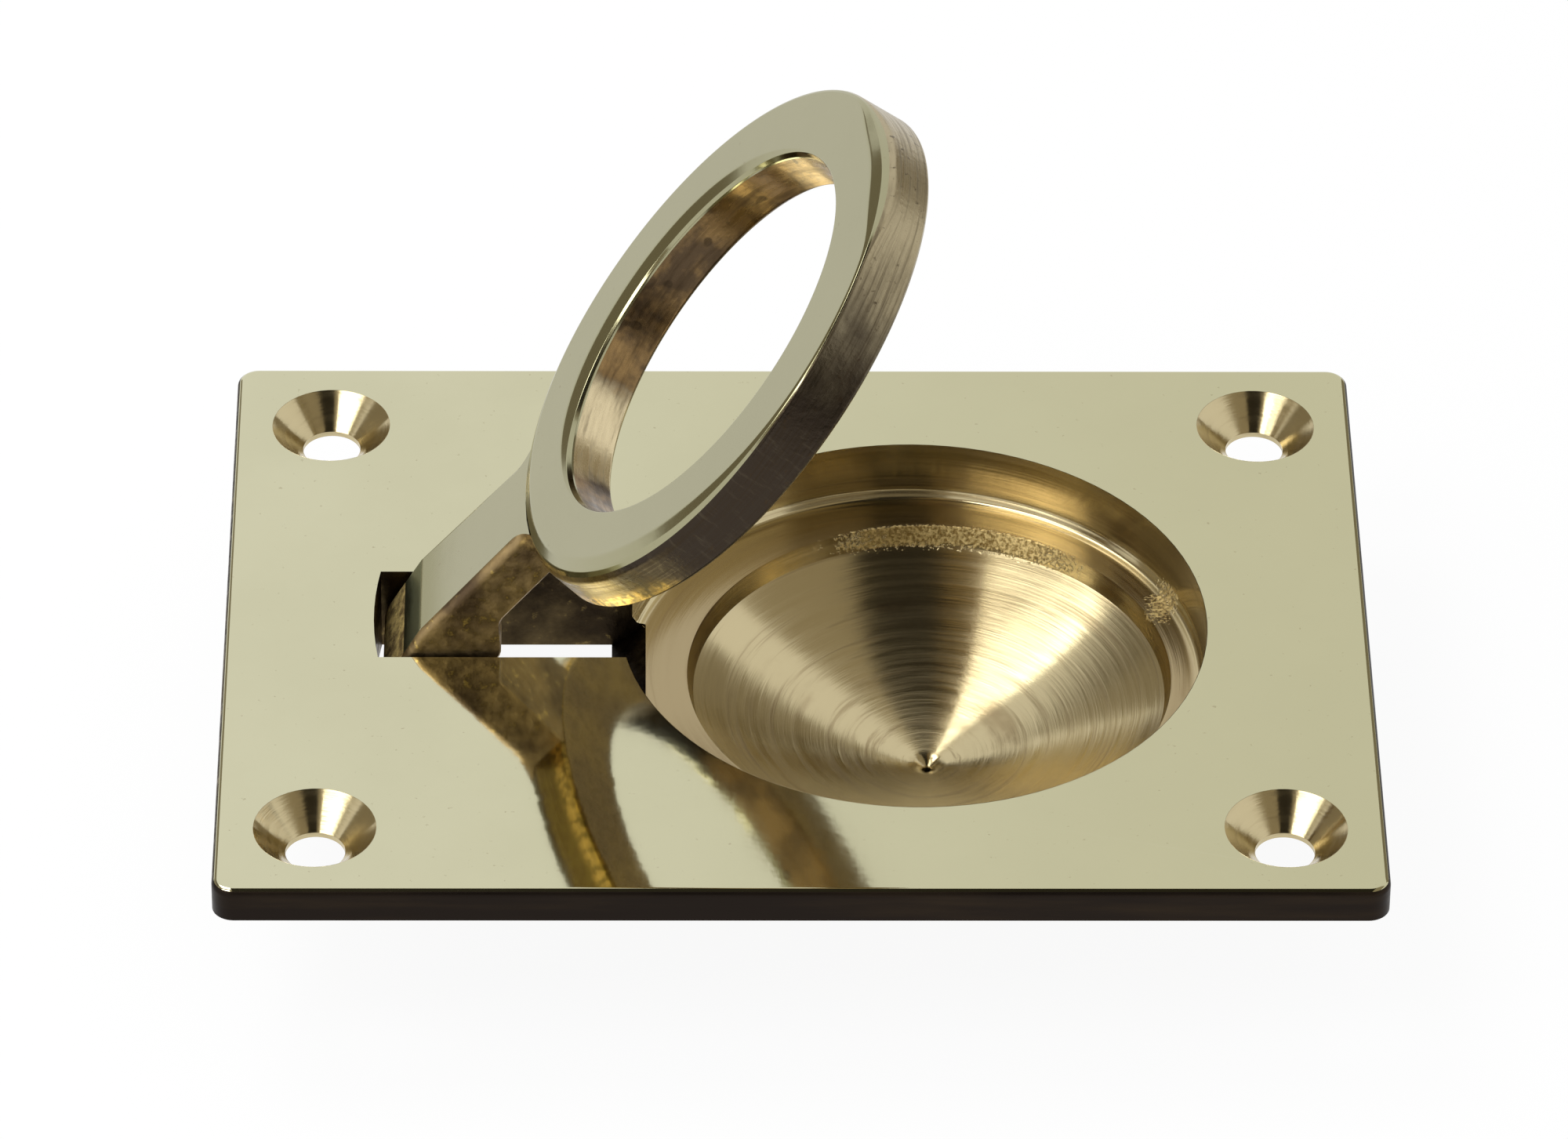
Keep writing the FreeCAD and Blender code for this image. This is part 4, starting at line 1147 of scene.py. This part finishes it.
def build_camera(stage):
    """The photograph's camera, from its turn, rise, roll and distance."""
    scene = bpy.context.scene
    turn, rise, roll = stage.camera_turn, stage.camera_rise, stage.camera_roll
    back = Vector((math.sin(turn) * math.cos(rise), -math.cos(turn) * math.cos(rise), math.sin(rise)))
    right = Vector((math.cos(turn), math.sin(turn), 0.0))
    up = back.cross(right)
    rolled_right = right * math.cos(roll) + up * math.sin(roll)
    rolled_up = up * math.cos(roll) - right * math.sin(roll)
    data = bpy.data.cameras.new("camera")
    data.sensor_width = SENSOR_WIDTH
    data.lens = stage.focal_pixels * data.sensor_width / PHOTO_WIDTH
    data.clip_start, data.clip_end = 0.01, 20.0
    camera = bpy.data.objects.new("camera", data)
    turned = Matrix((rolled_right, rolled_up, back)).transposed().to_4x4()
    camera.matrix_world = Matrix.Translation(CAMERA_TARGET + back * stage.camera_distance) @ turned
    scene.collection.objects.link(camera)
    scene.camera = camera
    scene.view_settings.view_transform = "Standard"


class RingPullSettings(PropertyGroup):
    """Everything that the sidebar offers."""
    cup: PointerProperty(type=TurnedCupSizes)
    ring: PointerProperty(type=RingSizes)
    plate: PointerProperty(type=PlateSizes)
    colours: PointerProperty(type=BrassColours)
    stage: PointerProperty(type=StageSettings)


class RINGPULL_OT_stage(Operator):
    """Set up the floor, the lamps and the camera"""
    bl_idname = "ring_pull.stage"
    bl_label = "Set the Stage"

    def execute(self, context):
        stage = context.scene.ring_pull.stage
        build_camera(stage)
        build_floor(stage)
        build_lights(stage)
        return {"FINISHED"}


class RINGPULL_OT_plate(Operator):
    """Finish the plate's casting"""
    bl_idname = "ring_pull.plate"
    bl_label = "Finish the Plate"

    def execute(self, context):
        build_plate(context.scene.ring_pull)
        return {"FINISHED"}


class RINGPULL_OT_cup(Operator):
    """Turn the recess, the ledge and the finger dish"""
    bl_idname = "ring_pull.cup"
    bl_label = "Turn the Cup"

    def execute(self, context):
        build_cup(context.scene.ring_pull)
        return {"FINISHED"}


class RINGPULL_OT_sinks(Operator):
    """Turn the four countersinks"""
    bl_idname = "ring_pull.sinks"
    bl_label = "Turn the Countersinks"

    def execute(self, context):
        build_sinks(context.scene.ring_pull)
        return {"FINISHED"}


class RINGPULL_OT_ring(Operator):
    """Build the ring with its tongue"""
    bl_idname = "ring_pull.ring"
    bl_label = "Build the Ring"

    def execute(self, context):
        build_ring(context.scene.ring_pull)
        return {"FINISHED"}


class RINGPULL_OT_pin(Operator):
    """Finish the hinge pin"""
    bl_idname = "ring_pull.pin"
    bl_label = "Finish the Pin"

    def execute(self, context):
        build_pin(context.scene.ring_pull)
        return {"FINISHED"}


class RINGPULL_PT_sidebar(Panel):
    """Lists the steps and the sizes they use"""
    bl_label = "Ring Pull"
    bl_idname = "RINGPULL_PT_sidebar"
    bl_space_type = "VIEW_3D"
    bl_region_type = "UI"
    bl_category = "Ring Pull"

    def draw(self, context):
        layout = self.layout
        settings = context.scene.ring_pull
        for operator in OPERATORS:
            layout.operator(operator.bl_idname)
        for group in (settings.cup, settings.ring, settings.plate, settings.colours, settings.stage):
            box = layout.box()
            for name in group.__annotations__:
                box.prop(group, name)


OPERATORS = (RINGPULL_OT_stage, RINGPULL_OT_plate, RINGPULL_OT_cup, RINGPULL_OT_sinks, RINGPULL_OT_ring,
             RINGPULL_OT_pin)
CLASSES = (TurnedCupSizes, RingSizes, PlateSizes, BrassColours, StageSettings, RingPullSettings,
           *OPERATORS, RINGPULL_PT_sidebar)


def register():
    for kind in CLASSES:
        bpy.utils.register_class(kind)
    bpy.types.Scene.ring_pull = PointerProperty(type=RingPullSettings)


def unregister():
    del bpy.types.Scene.ring_pull
    for kind in reversed(CLASSES):
        bpy.utils.unregister_class(kind)


def main():
    """Run every step in order."""
    register()
    bpy.ops.ring_pull.stage()
    bpy.ops.ring_pull.plate()
    bpy.ops.ring_pull.cup()
    bpy.ops.ring_pull.sinks()
    bpy.ops.ring_pull.ring()
    bpy.ops.ring_pull.pin()


if __name__ == "__main__":
    main()
